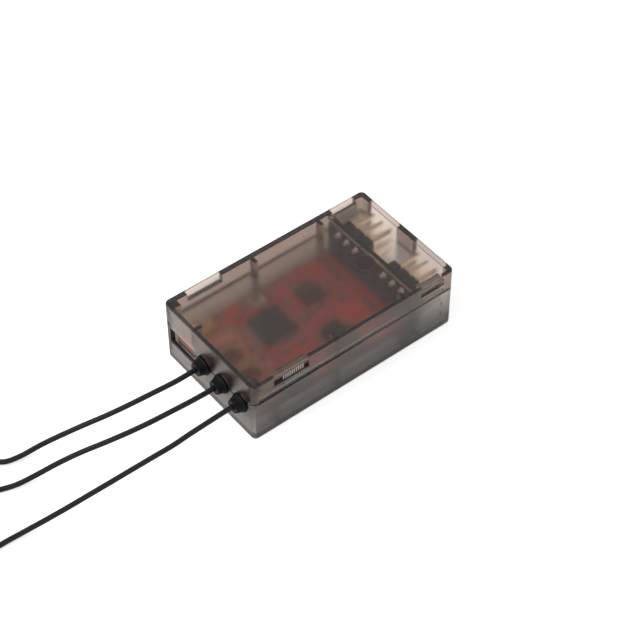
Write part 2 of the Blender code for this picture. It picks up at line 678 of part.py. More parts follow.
def port_pins():
    """Twenty four square pins with tapered ends, all from one mesh."""
    back, front = PORT_BOARD_BACK_X - PIN_TAIL, END_X - PIN_RECESS
    length = front - back
    builder = bmesh.new()
    bmesh.ops.create_cube(builder, size=1.0)
    bmesh.ops.scale(builder, vec=(length - 2 * PIN_TAPER, PIN_SIDE, PIN_SIDE), verts=builder.verts)
    for way in (1, -1):
        end = [face for face in builder.faces if face.normal.x * way > 0.9]
        grown = bmesh.ops.extrude_face_region(builder, geom=end)
        tip = [item for item in grown["geom"] if isinstance(item, bmesh.types.BMVert)]
        bmesh.ops.delete(builder, geom=end, context="FACES")
        bmesh.ops.translate(builder, vec=(way * PIN_TAPER, 0.0, 0.0), verts=tip)
        bmesh.ops.scale(builder, vec=(1.0, 0.5, 0.5), verts=tip)
    mesh = mesh_from(builder, "port_pin")
    for port, pin, y, z in pin_places():
        item = add_object(f"port_{port}_pin_{pin}", mesh, PIN_GOLD)
        item.location = ((back + front) / 2, y, z)


def grommets():
    """Black rubber bushes held between the two shells, one for each antenna."""
    bore = LEAD_DIAMETER / 2 + LEAD_GAP
    neck = NECK_DIAMETER / 2
    collar, flange = COLLAR_DIAMETER / 2, FLANGE_DIAMETER / 2
    inside = -WALL - PLAY
    outside = PLAY
    top = outside + COLLAR_LENGTH
    profile = [
        (NOZZLE_TIP_DIAMETER / 2, top + NOZZLE_LENGTH), (NOZZLE_DIAMETER / 2, top + EDGE_ROUND),
        (NOZZLE_DIAMETER / 2 + EDGE_ROUND / 2, top), (collar - EDGE_ROUND, top),
        (collar, top - EDGE_ROUND), (collar, outside), (neck, outside), (neck, inside),
        (flange, inside), (flange, inside - FLANGE_LENGTH + EDGE_ROUND),
        (flange - EDGE_ROUND, inside - FLANGE_LENGTH), (bore, inside - FLANGE_LENGTH),
        (bore, top + NOZZLE_LENGTH),
    ]
    for number, y in enumerate(GROMMET_YS, 1):
        turned(f"antenna_grommet_{number}", profile, (-END_X, y, GROMMET_HEIGHT), RUBBER)


def antenna_sockets():
    """Small coaxial sockets that lift the plugs to the grommets' axis, each with a raised contact ring."""
    low, base = BOARD_TOP + PLAY, PLUG_LOW - PLAY
    ring = SOCKET_RING / 2
    for number, y in enumerate(GROMMET_YS, 1):
        socket = box(
            f"antenna_socket_{number}",
            (PLUG_X - SOCKET_SIDE / 2, y - SOCKET_SIDE / 2, low),
            (PLUG_X + SOCKET_SIDE / 2, y + SOCKET_SIDE / 2, base),
            PIN_GOLD,
        )
        rim = flat_slab(f"socket_ring_{number}", [circle(ring, 16), circle(ring - SOCKET_RING_WALL, 16)],
                        base - BURY, base + SOCKET_RING_HEIGHT)
        rim.location.x, rim.location.y = PLUG_X, y
        join(socket, rim)


def antenna_plugs():
    """Round snap caps over the sockets, each with a crimped barrel towards its grommet."""
    high = PLUG_LOW + PLUG_HEIGHT
    for number, y in enumerate(GROMMET_YS, 1):
        plug = flat_slab(f"antenna_plug_{number}", [circle(PLUG_DIAMETER / 2, 20)], PLUG_LOW, high, PIN_GOLD)
        plug.location.x, plug.location.y = PLUG_X, y
        barrel = box(
            f"plug_barrel_{number}",
            (BARREL_END_X, y - BARREL_WIDTH / 2, GROMMET_HEIGHT - BARREL_HEIGHT / 2),
            (PLUG_X, y + BARREL_WIDTH / 2, GROMMET_HEIGHT + BARREL_HEIGHT / 2),
        )
        room = flat_slab(f"plug_room_{number}", [circle(PLUG_DIAMETER / 2 - PLUG_WALL, 20)],
                         PLUG_LOW - CUT_MARGIN, high - PLUG_WALL)
        room.location.x, room.location.y = PLUG_X, y
        bore = rod(f"plug_bore_{number}", (BARREL_END_X, y, GROMMET_HEIGHT), LEAD_DIAMETER / 2 + LEAD_GAP,
                   2 * (BARREL_LENGTH - PLUG_WALL), 16)
        join(plug, barrel)
        cut(plug, room, bore)


def chip_leads(name, edge, centre, quarter_turns):
    """A comb of gull wing leads on one side of the controller, as one object of loose strips."""
    mid = BOARD_TOP + PLAY + CONTROLLER_HEIGHT / 2
    foot = BOARD_TOP + PLAY / 2
    step = CHIP_LEAD_THICKNESS
    reach = CHIP_LEAD_REACH
    profile = [
        (edge - BURY, mid + step / 2), (edge + reach * 0.35, mid + step / 2),
        (edge + reach * 0.6, foot + step), (edge + reach, foot + step),
        (edge + reach, foot), (edge + reach * 0.5, foot),
        (edge + reach * 0.25, mid - step / 2), (edge - BURY, mid - step / 2),
    ]
    builder = bmesh.new()
    for number in range(CONTROLLER_LEADS):
        side = (number - (CONTROLLER_LEADS - 1) / 2) * CONTROLLER_PITCH
        ring = [builder.verts.new((out, side - CHIP_LEAD_WIDTH / 2, up)) for out, up in profile]
        face = builder.faces.new(ring)
        grown = bmesh.ops.extrude_face_region(builder, geom=[face])
        moved = [item for item in grown["geom"] if isinstance(item, bmesh.types.BMVert)]
        bmesh.ops.translate(builder, vec=(0.0, CHIP_LEAD_WIDTH, 0.0), verts=moved)
    bmesh.ops.recalc_face_normals(builder, faces=builder.faces)
    turn = Matrix.Rotation(math.pi / 2 * quarter_turns, 4, "Z")
    bmesh.ops.transform(builder, matrix=turn, verts=builder.verts)
    item = add_object(name, mesh_from(builder, name))
    item.location = (*centre, 0.0)
    return item


def controller_chip():
    """Square flat pack with twelve leads a side."""
    x, y = CONTROLLER_X, SIDE_Y - CONTROLLER_SIDE_INSET
    half = CONTROLLER_SIDE / 2
    low = BOARD_TOP + PLAY + CHIP_STANDOFF
    chip = box("controller_chip", (x - half, y - half, low), (x + half, y + half, low + CONTROLLER_HEIGHT),
               CHIP_BLACK, CHIP_EDGE)
    for side in range(4):
        join(chip, chip_leads(f"controller_leads_{side + 1}", half, (x, y), side))


def board_part(name, place, size, look, edge=0.0):
    """A block that stands on the main board, centred on its place."""
    low = Vector((*place, BOARD_TOP + PLAY)) - Vector((size[0], size[1], 0.0)) / 2
    return box(name, low, low + Vector(size), look, edge)


def small_parts():
    """Radio chip, crystal, capacitor, regulator and status lights."""
    radio_place = (RADIO_X, SIDE_Y - RADIO_SIDE_INSET)
    board_part("radio_chip", radio_place, (RADIO_SIDE, RADIO_SIDE, RADIO_HEIGHT), CHIP_BLACK)
    board_part("crystal", (CRYSTAL_X, SIDE_Y - CRYSTAL_SIDE_INSET), CRYSTAL_SIZE, NICKEL, CHIP_EDGE)
    tantalum_capacitor()
    voltage_regulator()
    led_x = -INSIDE_X + BOARD_END_GAP + LED_EDGE_GAP + LED_SIZE[0] / 2
    for number in range(LEDS):
        place = (led_x, NOTCH_LOW_Y + LED_START + number * LED_SPACING)
        board_part(f"status_led_{number + 1}", place, LED_SIZE, LED_LENS)


def tantalum_capacitor():
    """Moulded yellow block with a foot folded under each end."""
    x, y = TANTALUM_END_INSET - END_X, SIDE_Y - TANTALUM_SIDE_INSET
    length, width, height = TANTALUM_SIZE
    body = board_part("tantalum_capacitor", (x, y), TANTALUM_SIZE, TANTALUM_YELLOW, CHIP_EDGE)
    low = BOARD_TOP + PLAY
    room = box("tantalum_underside", (x - length / 2 + TANTALUM_FOOT * 2, y - width, low - CUT_MARGIN),
               (x + length / 2 - TANTALUM_FOOT * 2, y + width, low + TANTALUM_FOOT / 2))
    cut(body, room)


def voltage_regulator():
    """Power package with its wide tab on one side and three legs on the other."""
    x, y = REGULATOR_X, REGULATOR_INSET - SIDE_Y
    depth, width, height = REGULATOR_SIZE
    low = BOARD_TOP + PLAY
    near, far = x - depth / 2, x + depth / 2
    body = box("voltage_regulator", (near, y - width / 2, low), (far, y + width / 2, low + height),
               CHIP_BLACK, CHIP_EDGE)
    reach, tab_width, thickness = REGULATOR_TAB
    foot = low + thickness
    join(body, box("regulator_tab", (x, y - tab_width / 2, low), (far + reach, y + tab_width / 2, foot)))
    for leg in (-1, 0, 1):
        centre = y + leg * REGULATOR_LEG_PITCH
        join(body, box(f"regulator_leg_{leg + 2}", (near - reach, centre - REGULATOR_LEG_WIDTH / 2, low),
                       (x, centre + REGULATOR_LEG_WIDTH / 2, foot)))


def side_connector():
    """Tall fine pitch connector behind the near vent window, with an open slot for each contact."""
    x, y = VENT_X + CONNECTOR_SHIFT, CONNECTOR_INSET + CONNECTOR_DEPTH / 2 - SIDE_Y
    top = WINDOW_SILL - CONNECTOR_DROP
    size = (CONNECTOR_LENGTH, CONNECTOR_DEPTH, top - BOARD_TOP - PLAY)
    body = board_part("side_connector", (x, y), size, BLOCK_BLACK, CHIP_EDGE)
    for number in range(CONTACTS):
        centre = x + (number - (CONTACTS - 1) / 2) * CONTACT_PITCH
        cut(body, box(
            f"contact_slot_{number + 1}",
            (centre - CONTACT_SLOT / 2, y - CONNECTOR_DEPTH, top - CONTACT_LENGTH),
            (centre + CONTACT_SLOT / 2, y - CONNECTOR_DEPTH / 2 + CONTACT_SLOT, top + CUT_MARGIN),
        ))


def lead_route(y, points):
    """Level out of the plug and through the grommet, then down to the table along the lead's own points."""
    start, exit_x = BARREL_END_X + LEAD_SEAT, -END_X - LEAD_STRAIGHT
    route = [
        Vector((start + (exit_x - start) * step / LEAD_STRAIGHT_STEPS, y, GROMMET_HEIGHT))
        for step in range(LEAD_STRAIGHT_STEPS + 1)
    ]
    for out, side, share in points:
        height = LEAD_REST + share * (GROMMET_HEIGHT - LEAD_REST)
        route.append(Vector((-END_X - out * MM, y + side * MM, height)))
    return route


def smooth_route(places):
    """Evenly spaced points on one smooth curve through the given places."""
    padded = [2 * places[0] - places[1], *places, 2 * places[-1] - places[-2]]
    fine = []
    for before, start, end, after in zip(padded, padded[1:], padded[2:], padded[3:]):
        for step in range(12):
            share = step / 12
            fine.append(0.5 * (
                2 * start + (end - before) * share
                + (2 * before - 5 * start + 4 * end - after) * share ** 2
                + (3 * start - before - 3 * end + after) * share ** 3
            ))
    fine.append(places[-1])
    travelled = [0.0]
    for here, there in zip(fine, fine[1:]):
        travelled.append(travelled[-1] + (there - here).length)
    count = round(travelled[-1] / LEAD_POINT_SPACING)
    evenly, at = [], 0
    for number in range(count + 1):
        wanted = travelled[-1] * number / count
        while at < len(fine) - 2 and travelled[at + 1] < wanted:
            at += 1
        share = (wanted - travelled[at]) / (travelled[at + 1] - travelled[at])
        evenly.append(fine[at].lerp(fine[at + 1], share))
    return evenly


def antenna_leads():
    """Thin coaxial leads from the plugs out through the grommets and down to their coils."""
    for number, (y, points) in enumerate(zip(GROMMET_YS, LEAD_ROUTES), 1):
        name = f"antenna_lead_{number}"
        curve = bpy.data.curves.new(name, "CURVE")
        curve.dimensions = "3D"
        curve.bevel_depth = LEAD_DIAMETER / 2
        curve.bevel_resolution = 2
        curve.use_fill_caps = True
        route = smooth_route(lead_route(y, points))
        spline = curve.splines.new("POLY")
        spline.points.add(len(route) - 1)
        for point, place in zip(spline.points, route):
            point.co = (*place, 1.0)
        curve.materials.append(material(LEAD_JACKET))
        PARTS.objects.link(bpy.data.objects.new(name, curve))


def antenna_coils():
    """The rest of each lead, as the ring that its neat coil fills."""
    half = COIL_WIDTH / 2
    for number, (y, (out, side)) in enumerate(zip(GROMMET_YS, COIL_PLACES), 1):
        rings = [circle(COIL_RADIUS + half, 32), circle(COIL_RADIUS - half, 32)]
        coil = flat_slab(f"antenna_coil_{number}", rings, 0.0, COIL_HEIGHT, LEAD_JACKET)
        coil.location.x, coil.location.y = -END_X - out * MM, y + side * MM


clear_scene()
PARTS = new_collection("rc_receiver")
CUTTERS = new_collection("cutters")
case_top()
case_bottom()
main_board()
port_board()
port_blocks()
port_pins()
grommets()
antenna_sockets()
antenna_plugs()
controller_chip()
small_parts()
side_connector()
antenna_leads()
antenna_coils()
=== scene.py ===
# %% [markdown]
# # A radio control receiver in a clear smoked case
#
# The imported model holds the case, the boards, the pins and the antenna leads at their real size. This notebook
# gives them their finish: tinted plastic that can be looked through, lacquered boards, gold pins, soft rubber and
# thin cable. It also adds what is too small for the construction, such as solder joints, chip parts and numbers.
# The model is loaded first and never moved, because every later piece takes its place from it. Lengths are in
# metres. Outlines and tables of places are in millimetres, and are multiplied by MM where they are used.

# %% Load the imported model
import math

import bmesh
import bpy
from mathutils import Matrix, Vector


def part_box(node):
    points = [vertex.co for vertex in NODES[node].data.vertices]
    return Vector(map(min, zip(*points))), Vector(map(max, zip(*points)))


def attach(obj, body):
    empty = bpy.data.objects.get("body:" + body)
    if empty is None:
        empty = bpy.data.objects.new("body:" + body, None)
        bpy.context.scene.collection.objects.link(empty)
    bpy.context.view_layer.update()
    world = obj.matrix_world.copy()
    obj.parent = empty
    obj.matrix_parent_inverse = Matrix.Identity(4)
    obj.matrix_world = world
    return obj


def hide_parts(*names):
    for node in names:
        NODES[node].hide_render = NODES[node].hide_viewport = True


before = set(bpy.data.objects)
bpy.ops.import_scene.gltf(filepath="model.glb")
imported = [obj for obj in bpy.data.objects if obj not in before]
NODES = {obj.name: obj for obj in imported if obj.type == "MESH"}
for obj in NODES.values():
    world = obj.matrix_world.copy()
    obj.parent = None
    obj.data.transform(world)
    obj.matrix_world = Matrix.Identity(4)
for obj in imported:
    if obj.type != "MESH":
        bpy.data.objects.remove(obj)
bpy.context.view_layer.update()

MM = 0.001

# %% [markdown]
# ## The camera
#
# A camera can be placed by eye, or worked out. Here it was worked out from the corners of the case: it stands at an
# angle round the object and a height above it, a little over a third of a metre away, and looks through a long lens.
# A long lens keeps the edges of a small box nearly parallel, as in a product photograph.

# %% Place the camera
CAMERA_TURN = math.radians(-128.56)
CAMERA_RISE = math.radians(47.80)
CAMERA_DISTANCE = 0.34814
CAMERA_AIM = Vector((0.0, 0.0, 0.007))
CAMERA_SLIDE = (0.00181, -0.001524)
CAMERA_LENS = 106.3
CAMERA_FILM = 36.0


def place_camera():
    data = bpy.data.cameras.new("camera")
    data.lens = CAMERA_LENS
    data.sensor_width = CAMERA_FILM
    camera = bpy.data.objects.new("camera", data)
    bpy.context.scene.collection.objects.link(camera)
    outward = Vector((
        math.cos(CAMERA_RISE) * math.cos(CAMERA_TURN),
        math.cos(CAMERA_RISE) * math.sin(CAMERA_TURN),
        math.sin(CAMERA_RISE),
    ))
    right = Vector((0.0, 0.0, 1.0)).cross(outward).normalized()
    up = outward.cross(right)
    place = CAMERA_AIM + outward * CAMERA_DISTANCE + right * CAMERA_SLIDE[0] + up * CAMERA_SLIDE[1]
    turn = Matrix((right, up, outward)).transposed().to_4x4()
    camera.matrix_world = Matrix.Translation(place) @ turn
    bpy.context.scene.camera = camera
    return camera


camera = place_camera()
print("camera at", [round(v, 4) for v in camera.matrix_world.translation])

# %% [markdown]
# ## Small helpers for materials
#
# Each finish below is a Principled BSDF with its own values. What changes over a surface, such as fine grain or
# cloudy colour, comes from a shader node group. A group is made once and placed in many materials, each with its own
# numbers, so that one good recipe for grain serves plastic, rubber and resin alike.

# %% Helpers that build materials and groups
def new_material(name, slot_values):
    """A material whose Principled BSDF takes its even values from a table."""
    material = bpy.data.materials.new(name)
    material.use_nodes = True
    tree = material.node_tree
    shader = tree.nodes["Principled BSDF"]
    for socket, value in slot_values.items():
        shader.inputs[socket].default_value = (*value, 1.0) if isinstance(value, tuple) else value
    return material, tree, shader


def new_group(name, inputs, outputs):
    """A shader node group with named sockets. Returns its tree, its input node and its output node."""
    group = bpy.data.node_groups.new(name, "ShaderNodeTree")
    for label, value in inputs.items():
        kind = "NodeSocketColor" if isinstance(value, tuple) else "NodeSocketFloat"
        socket = group.interface.new_socket(name=label, in_out="INPUT", socket_type=kind)
        socket.default_value = value
    for label in outputs:
        kind = "NodeSocketColor" if label == "Colour" else "NodeSocketFloat"
        group.interface.new_socket(name=label, in_out="OUTPUT", socket_type=kind)
    return group, group.nodes.new("NodeGroupInput"), group.nodes.new("NodeGroupOutput")


def place_group(tree, group, **values):
    """Put a group in a material, with a value for each of its inputs."""
    node = tree.nodes.new("ShaderNodeGroup")
    node.node_tree = group
    for label, value in values.items():
        socket = node.inputs[label.replace("_", " ")]
        socket.default_value = (*value, 1.0) if isinstance(value, tuple) else value
    return node


# %% Helpers that join nodes
def feed(tree, value, socket):
    """Give a socket a number, or join it to the output of another node."""
    if isinstance(value, (int, float)):
        socket.default_value = value
    else:
        tree.links.new(value, socket)


def math_node(tree, operation, *values):
    """A Math node, or a row of them where there are more than two values."""
    node = tree.nodes.new("ShaderNodeMath")
    node.operation = operation
    for socket, value in zip(node.inputs, values[:2]):
        feed(tree, value, socket)
    if len(values) > 2:
        return math_node(tree, operation, node.outputs[0], *values[2:])
    return node.outputs[0]


def surface_place(tree):
    """Where a point of the surface is, in the object's own frame."""
    return tree.nodes.new("ShaderNodeTexCoord").outputs["Object"]


def noise(tree, coordinates, scale, detail):
    """The value of a noise texture."""
    node = tree.nodes.new("ShaderNodeTexNoise")
    node.inputs["Detail"].default_value = detail
    tree.links.new(coordinates, node.inputs["Vector"])
    feed(tree, scale, node.inputs["Scale"])
    return node.outputs["Fac"]


def remap(tree, value, low, high):
    """Stretch a 0 to 1 value to a new range, given as numbers or outputs."""
    node = tree.nodes.new("ShaderNodeMapRange")
    tree.links.new(value, node.inputs["Value"])
    feed(tree, low, node.inputs["To Min"])
    feed(tree, high, node.inputs["To Max"])
    return node.outputs["Result"]


# %% The grain group: moulded texture, cloudy colour and uneven gloss
def make_grain():
    """Clouds that shift the colour and the gloss, and a fine noise for the height."""
    group, source, result = new_group(
        "grain",
        {"Colour": (0.5, 0.5, 0.5, 1.0), "Cloud": 0.1, "Cloud Scale": 120.0, "Grain Scale": 4000.0,
         "Gloss Low": 0.3, "Gloss High": 0.5},
        ("Colour", "Roughness", "Height"),
    )
    place = surface_place(group)
    clouds = noise(group, place, source.outputs["Cloud Scale"], 4.0)
    shift = math_node(group, "MULTIPLY", math_node(group, "SUBTRACT", clouds, 0.5), source.outputs["Cloud"])
    tint = group.nodes.new("ShaderNodeVectorMath")
    tint.operation = "SCALE"
    group.links.new(source.outputs["Colour"], tint.inputs[0])
    group.links.new(math_node(group, "ADD", shift, 1.0), tint.inputs["Scale"])
    group.links.new(tint.outputs[0], result.inputs["Colour"])
    gloss = remap(group, clouds, source.outputs["Gloss Low"], source.outputs["Gloss High"])
    group.links.new(gloss, result.inputs["Roughness"])
    fine = noise(group, place, source.outputs["Grain Scale"], 2.0)
    group.links.new(fine, result.inputs["Height"])
    return group


GRAIN = make_grain()
print("grain group:", len(GRAIN.nodes), "nodes")


# %% Feed a placed grain group into a material
def add_grain(tree, shader, bump, colour, gloss, cloud=0.3, cloud_scale=900.0, grain_scale=5000.0):
    """Colour, gloss from low to high, and a fine bump of the given height in metres."""
    grain = place_group(tree, GRAIN, Colour=colour, Cloud=cloud, Cloud_Scale=cloud_scale, Grain_Scale=grain_scale,
                        Gloss_Low=gloss[0], Gloss_High=gloss[1])
    tree.links.new(grain.outputs["Colour"], shader.inputs["Base Color"])
    tree.links.new(grain.outputs["Roughness"], shader.inputs["Roughness"])
    raised = tree.nodes.new("ShaderNodeBump")
    raised.inputs["Distance"].default_value = bump
    tree.links.new(grain.outputs["Height"], raised.inputs["Height"])
    tree.links.new(raised.outputs["Normal"], shader.inputs["Normal"])
    return grain


def plain_finish(name, even, **grain):
    """A material of one grain all over, with a table of the values that stay even."""
    material, tree, shader = new_material(name, even)
    add_grain(tree, shader, **grain)
    return material


# %% [markdown]
# ## The antenna leads
#
# Each lead is a thin coaxial cable: it snaps on the board inside, passes a rubber grommet, and droops to the table
# in a slow curve. The far end is bare, with the outer jacket stripped back for the active length. A curve with a
# bevel would do, but the step where the jacket ends asks for two finishes, so the lead is a swept mesh tube along
# one smooth path. The length that the view doesn't show is wound in a neat round coil past its edge.

# %% Sizes of the leads, and their routes in millimetres, the same as in the construction
LEAD_DIAMETER = 0.001
LEAD_LENGTH = 0.150
CORE_DIAMETER = 0.00065
CORE_LENGTH = 0.031
COIL_RADIUS = 0.0056
COIL_PITCH = 0.00104
COIL_POINTS = 14
PATH_STEPS = 4
LEAD_HEIGHT = 7.85
LEAD_SIDES = (1.1, -4.4, -9.9)
STRAIGHT_RUN = (-19.1, -21.13, -23.15, -25.17, -27.2)
LEAD_BENDS = (
    ((-30.0, 1.24, 7.7), (-34.0, 2.04, 7.05), (-38.0, 3.08, 6.1), (-42.0, 4.38, 4.95), (-46.0, 5.94, 3.75),
     (-50.0, 7.38, 2.6), (-54.0, 8.54, 1.6), (-58.0, 9.15, 0.95), (-61.1, 10.3, 0.62), (-62.6, 13.3, 0.53),
     (-62.9, 18.4, 0.53), (-63.5, 22.83, 0.53)),
    ((-30.4, -4.2, 7.75), (-34.0, -3.56, 7.2), (-38.0, -2.68, 6.4), (-42.0, -1.46, 5.4), (-46.0, -0.02, 4.35),
     (-50.0, 1.55, 3.25), (-54.0, 2.75, 2.25), (-58.0, 3.55, 1.4), (-61.6, 4.25, 0.85), (-64.2, 5.2, 0.6),
     (-66.9, 6.3, 0.53)),
    ((-31.0, -9.95, 7.75), (-34.5, -9.85, 7.4), (-38.0, -9.62, 6.75), (-42.0, -9.06, 6.0), (-46.0, -8.4, 5.1),
     (-50.0, -7.76, 4.2), (-54.0, -7.1, 3.3), (-58.0, -6.48, 2.45), (-62.0, -5.84, 1.7), (-66.0, -5.2, 1.05),
     (-69.5, -4.75, 0.65), (-72.6, -4.65, 0.53)),
)
LEAD_ROUTES = [
    [Vector((x * MM, y * MM, z * MM)) for x, y, z in (*((x, side, LEAD_HEIGHT) for x in STRAIGHT_RUN), *bends)]
    for side, bends in zip(LEAD_SIDES, LEAD_BENDS)
]
COILS = (
    {"centre": (-0.0690, 0.0274), "start": 0.0, "way": 1},
    {"centre": (-0.0702, 0.0125), "start": -math.pi / 2, "way": -1},
    {"centre": (-0.0770, 0.0010), "start": -math.pi / 2, "way": -1},
)
print("points on the routes:", [len(route) for route in LEAD_ROUTES])


# %% Wind the coil and smooth the whole path
def path_length(points):
    """How long the straight pieces between the points are together."""
    return sum((there - here).length for here, there in zip(points, points[1:]))


def coil_turns(coil, height, length):
    """Points of a round coil that climbs one cable's width a turn."""
    turn = math.hypot(2 * math.pi * COIL_RADIUS, COIL_PITCH)
    steps = math.ceil(length / turn * COIL_POINTS)
    points = []
    for step in range(steps + 1):
        share = length / turn * step / steps
        angle = coil["start"] + coil["way"] * 2 * math.pi * share
        points.append(Vector((
            coil["centre"][0] + COIL_RADIUS * math.cos(angle),
            coil["centre"][1] + COIL_RADIUS * math.sin(angle),
            height + COIL_PITCH * share,
        )))
    return points


def smooth_path(points, steps):
    """Points on one smooth curve through the given ones."""
    padded = [2 * points[0] - points[1], *points, 2 * points[-1] - points[-2]]
    fine = []
    for before, start, end, after in zip(padded, padded[1:], padded[2:], padded[3:]):
        for step in range(steps):
            share = step / steps
            fine.append(0.5 * (
                2 * start + (end - before) * share
                + (2 * before - 5 * start + 4 * end - after) * share ** 2
                + (3 * start - before - 3 * end + after) * share ** 3
            ))
    fine.append(points[-1])
    return fine


print(f"one turn of the coil: {2 * math.pi * COIL_RADIUS / MM:.1f} mm")


# %% Sweep a round tube along a path
TUBE_SIDES = 14


def add_ring(builder, middle, first, second, count):
    """Points on a circle round the middle, through the ends of two radii at right angles."""
    turns = (2 * math.pi * step / count for step in range(count))
    return [builder.verts.new(middle + math.cos(turn) * first + math.sin(turn) * second) for turn in turns]


def join_rings(builder, rings):
    """Close the first ring and join each ring to the next. Returns the faces."""
    faces = [builder.faces.new(rings[0][::-1])]
    for here, there in zip(rings, rings[1:]):
        for step in range(len(here)):
            after = (step + 1) % len(here)
            faces.append(builder.faces.new((here[step], here[after], there[after], there[step])))
    return faces


def swept_tube(name, path, radii):
    """A closed tube whose rings turn with the path, one radius for each point."""
    builder = bmesh.new()
    rings = []
    side = Vector((0.0, 0.0, 1.0))
    for number, (place, radius) in enumerate(zip(path, radii)):
        along = (path[min(number + 1, len(path) - 1)] - path[max(number - 1, 0)]).normalized()
        side = (side - along * side.dot(along)).normalized()
        rings.append(add_ring(builder, place, radius * side, radius * along.cross(side), TUBE_SIDES))
    join_rings(builder, rings)
    builder.faces.new(rings[-1])
    bmesh.ops.recalc_face_normals(builder, faces=builder.faces)
    return add_piece(name, builder)


# %% Make a piece of the scene from a mesh
CREASE_ANGLE = math.radians(40)


def add_piece(name, builder, smooth=True):
    """Turn a bmesh into an object of the scene."""
    mesh = bpy.data.meshes.new(name)
    builder.to_mesh(mesh)
    builder.free()
    if smooth:
        mesh.shade_smooth()
        mesh.set_sharp_from_angle(angle=CREASE_ANGLE)
    piece = bpy.data.objects.new(name, mesh)
    bpy.context.scene.collection.objects.link(piece)
    return piece


def settle(piece, slot, *materials):
    """Give a piece its materials and its place on the body. The slot is not used."""
    for material in materials:
        piece.data.materials.append(material)
    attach(piece, "root")


# %% Materials of the satin black jacket and of the milky core where it is stripped
JACKET = plain_finish("cable jacket", {"Specular IOR Level": 0.24}, bump=0.00002, colour=(0.006, 0.006, 0.0065),
                      gloss=(0.26, 0.42), cloud=0.5, cloud_scale=300.0, grain_scale=3500.0)
CORE = plain_finish("cable core", {"Subsurface Weight": 0.2, "Subsurface Scale": 0.0005}, bump=0.00001,
                    colour=(0.62, 0.60, 0.56), gloss=(0.25, 0.4), cloud=0.2, cloud_scale=400.0,
                    grain_scale=3000.0)
print("cable finishes:", JACKET.name, "and", CORE.name)


# %% Make the three leads
def make_lead(number, route, coil):
    """One lead with its coil, thinner over the stripped length at its far end."""
    entry = Vector((*coil_turns(coil, 0.0, COIL_RADIUS)[0].xy, route[-1].z))
    run = path_length([*smooth_path(route, PATH_STEPS), entry])
    path = smooth_path(route + coil_turns(coil, route[-1].z, LEAD_LENGTH - run), PATH_STEPS)
    total, travelled, radii = path_length(path), 0.0, []
    for here, there in zip(path, [*path[1:], path[-1]]):
        radii.append((LEAD_DIAMETER if total - travelled > CORE_LENGTH else CORE_DIAMETER) / 2)
        travelled += (there - here).length
    lead = swept_tube(f"lead_{number}", path, radii)
    settle(lead, "lead_jacket", JACKET, CORE)
    first_core = radii.index(CORE_DIAMETER / 2)
    for face in lead.data.polygons:
        if min(face.vertices) >= first_core * TUBE_SIDES:
            face.material_index = 1
    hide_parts(f"antenna_lead_{number}", f"antenna_coil_{number}")
    print(f"lead {number}: {total / MM:.1f} mm, {(LEAD_LENGTH - run) / (2 * math.pi * COIL_RADIUS):.2f} turns")


for number, (route, coil) in enumerate(zip(LEAD_ROUTES, COILS), 1):
    make_lead(number, route, coil)

# %% [markdown]
# ## The smoked case
#
# The case is moulded in tinted clear plastic. Two things give it its look. The tint is in the depth of the plastic,
# so a wall that is looked through edge on is nearly black and the thin top is only grey: that is Volume Absorption.
# The inner faces have a fine moulded texture, which blurs what lies deep inside more than what lies close: that is
# a rough transmission. An alpha value would show neither. Four groups of masks finish it: painted shade along the
# seam between the shells, the gloss of each face, painted shade on the rims where the walls are seen edge on, and
# painted shade on the outer walls and the far wall. Masks suit these lines, because they lie on walls that are
# already there and have hardly any depth of their own.

# %% Helpers for masks
def compare(tree, value, target, reach):
    """One where a value lies within reach of the target."""
    node = tree.nodes.new("ShaderNodeMath")
    node.operation = "COMPARE"
    node.inputs[2].default_value = reach
    feed(tree, value, node.inputs[0])
    feed(tree, target, node.inputs[1])
    return node.outputs[0]


def axes_of(tree, output="Object"):
    """The x, y and z of each point of the surface, or of its normal."""
    axes = tree.nodes.new("ShaderNodeSeparateXYZ")
    tree.links.new(tree.nodes.new("ShaderNodeTexCoord").outputs[output], axes.inputs[0])
    return axes.outputs


def both(tree, *masks):
    """One where every mask is one."""
    return math_node(tree, "MULTIPLY", *masks)


def flipped(tree, mask):
    """One where the mask is zero."""
    return math_node(tree, "SUBTRACT", 1.0, mask)


# %% Where the painted shade lines run: the seam, the tongue, the notch and the vent
CASE_END = 0.0232
END_REACH = 0.0012
SEAM_HEIGHT = 0.0093
SEAM_LIFT = 0.0002
SEAM_HALF = 0.00023
SEAM_TAPER = -0.0090
SEAM_LEAST = 0.00012
TONGUE_HEIGHT = 0.00785
TONGUE_SIDE = 0.01166
TONGUE_LINE = 0.000161
WANDER_SCALE = 700.0
NOTCH_MIDDLE = 0.00785
NOTCH_HALF = 0.00378
NOTCH_SILL = 0.00486
SILL_LINE = 0.0003
CUT_LINE = 0.00015
CUT_MIDDLE = 0.0066
CUT_HALF = 0.0016
VENT_MIDDLE = -0.0146
VENT_HALF = 0.0039
VENT_SILL = 0.01155
VENT_LINE = 0.00012
VENT_DEPTH = 0.0131
print(f"seam {SEAM_HEIGHT / MM:.1f} mm up, and {TONGUE_HEIGHT / MM:.2f} mm under the tongue")
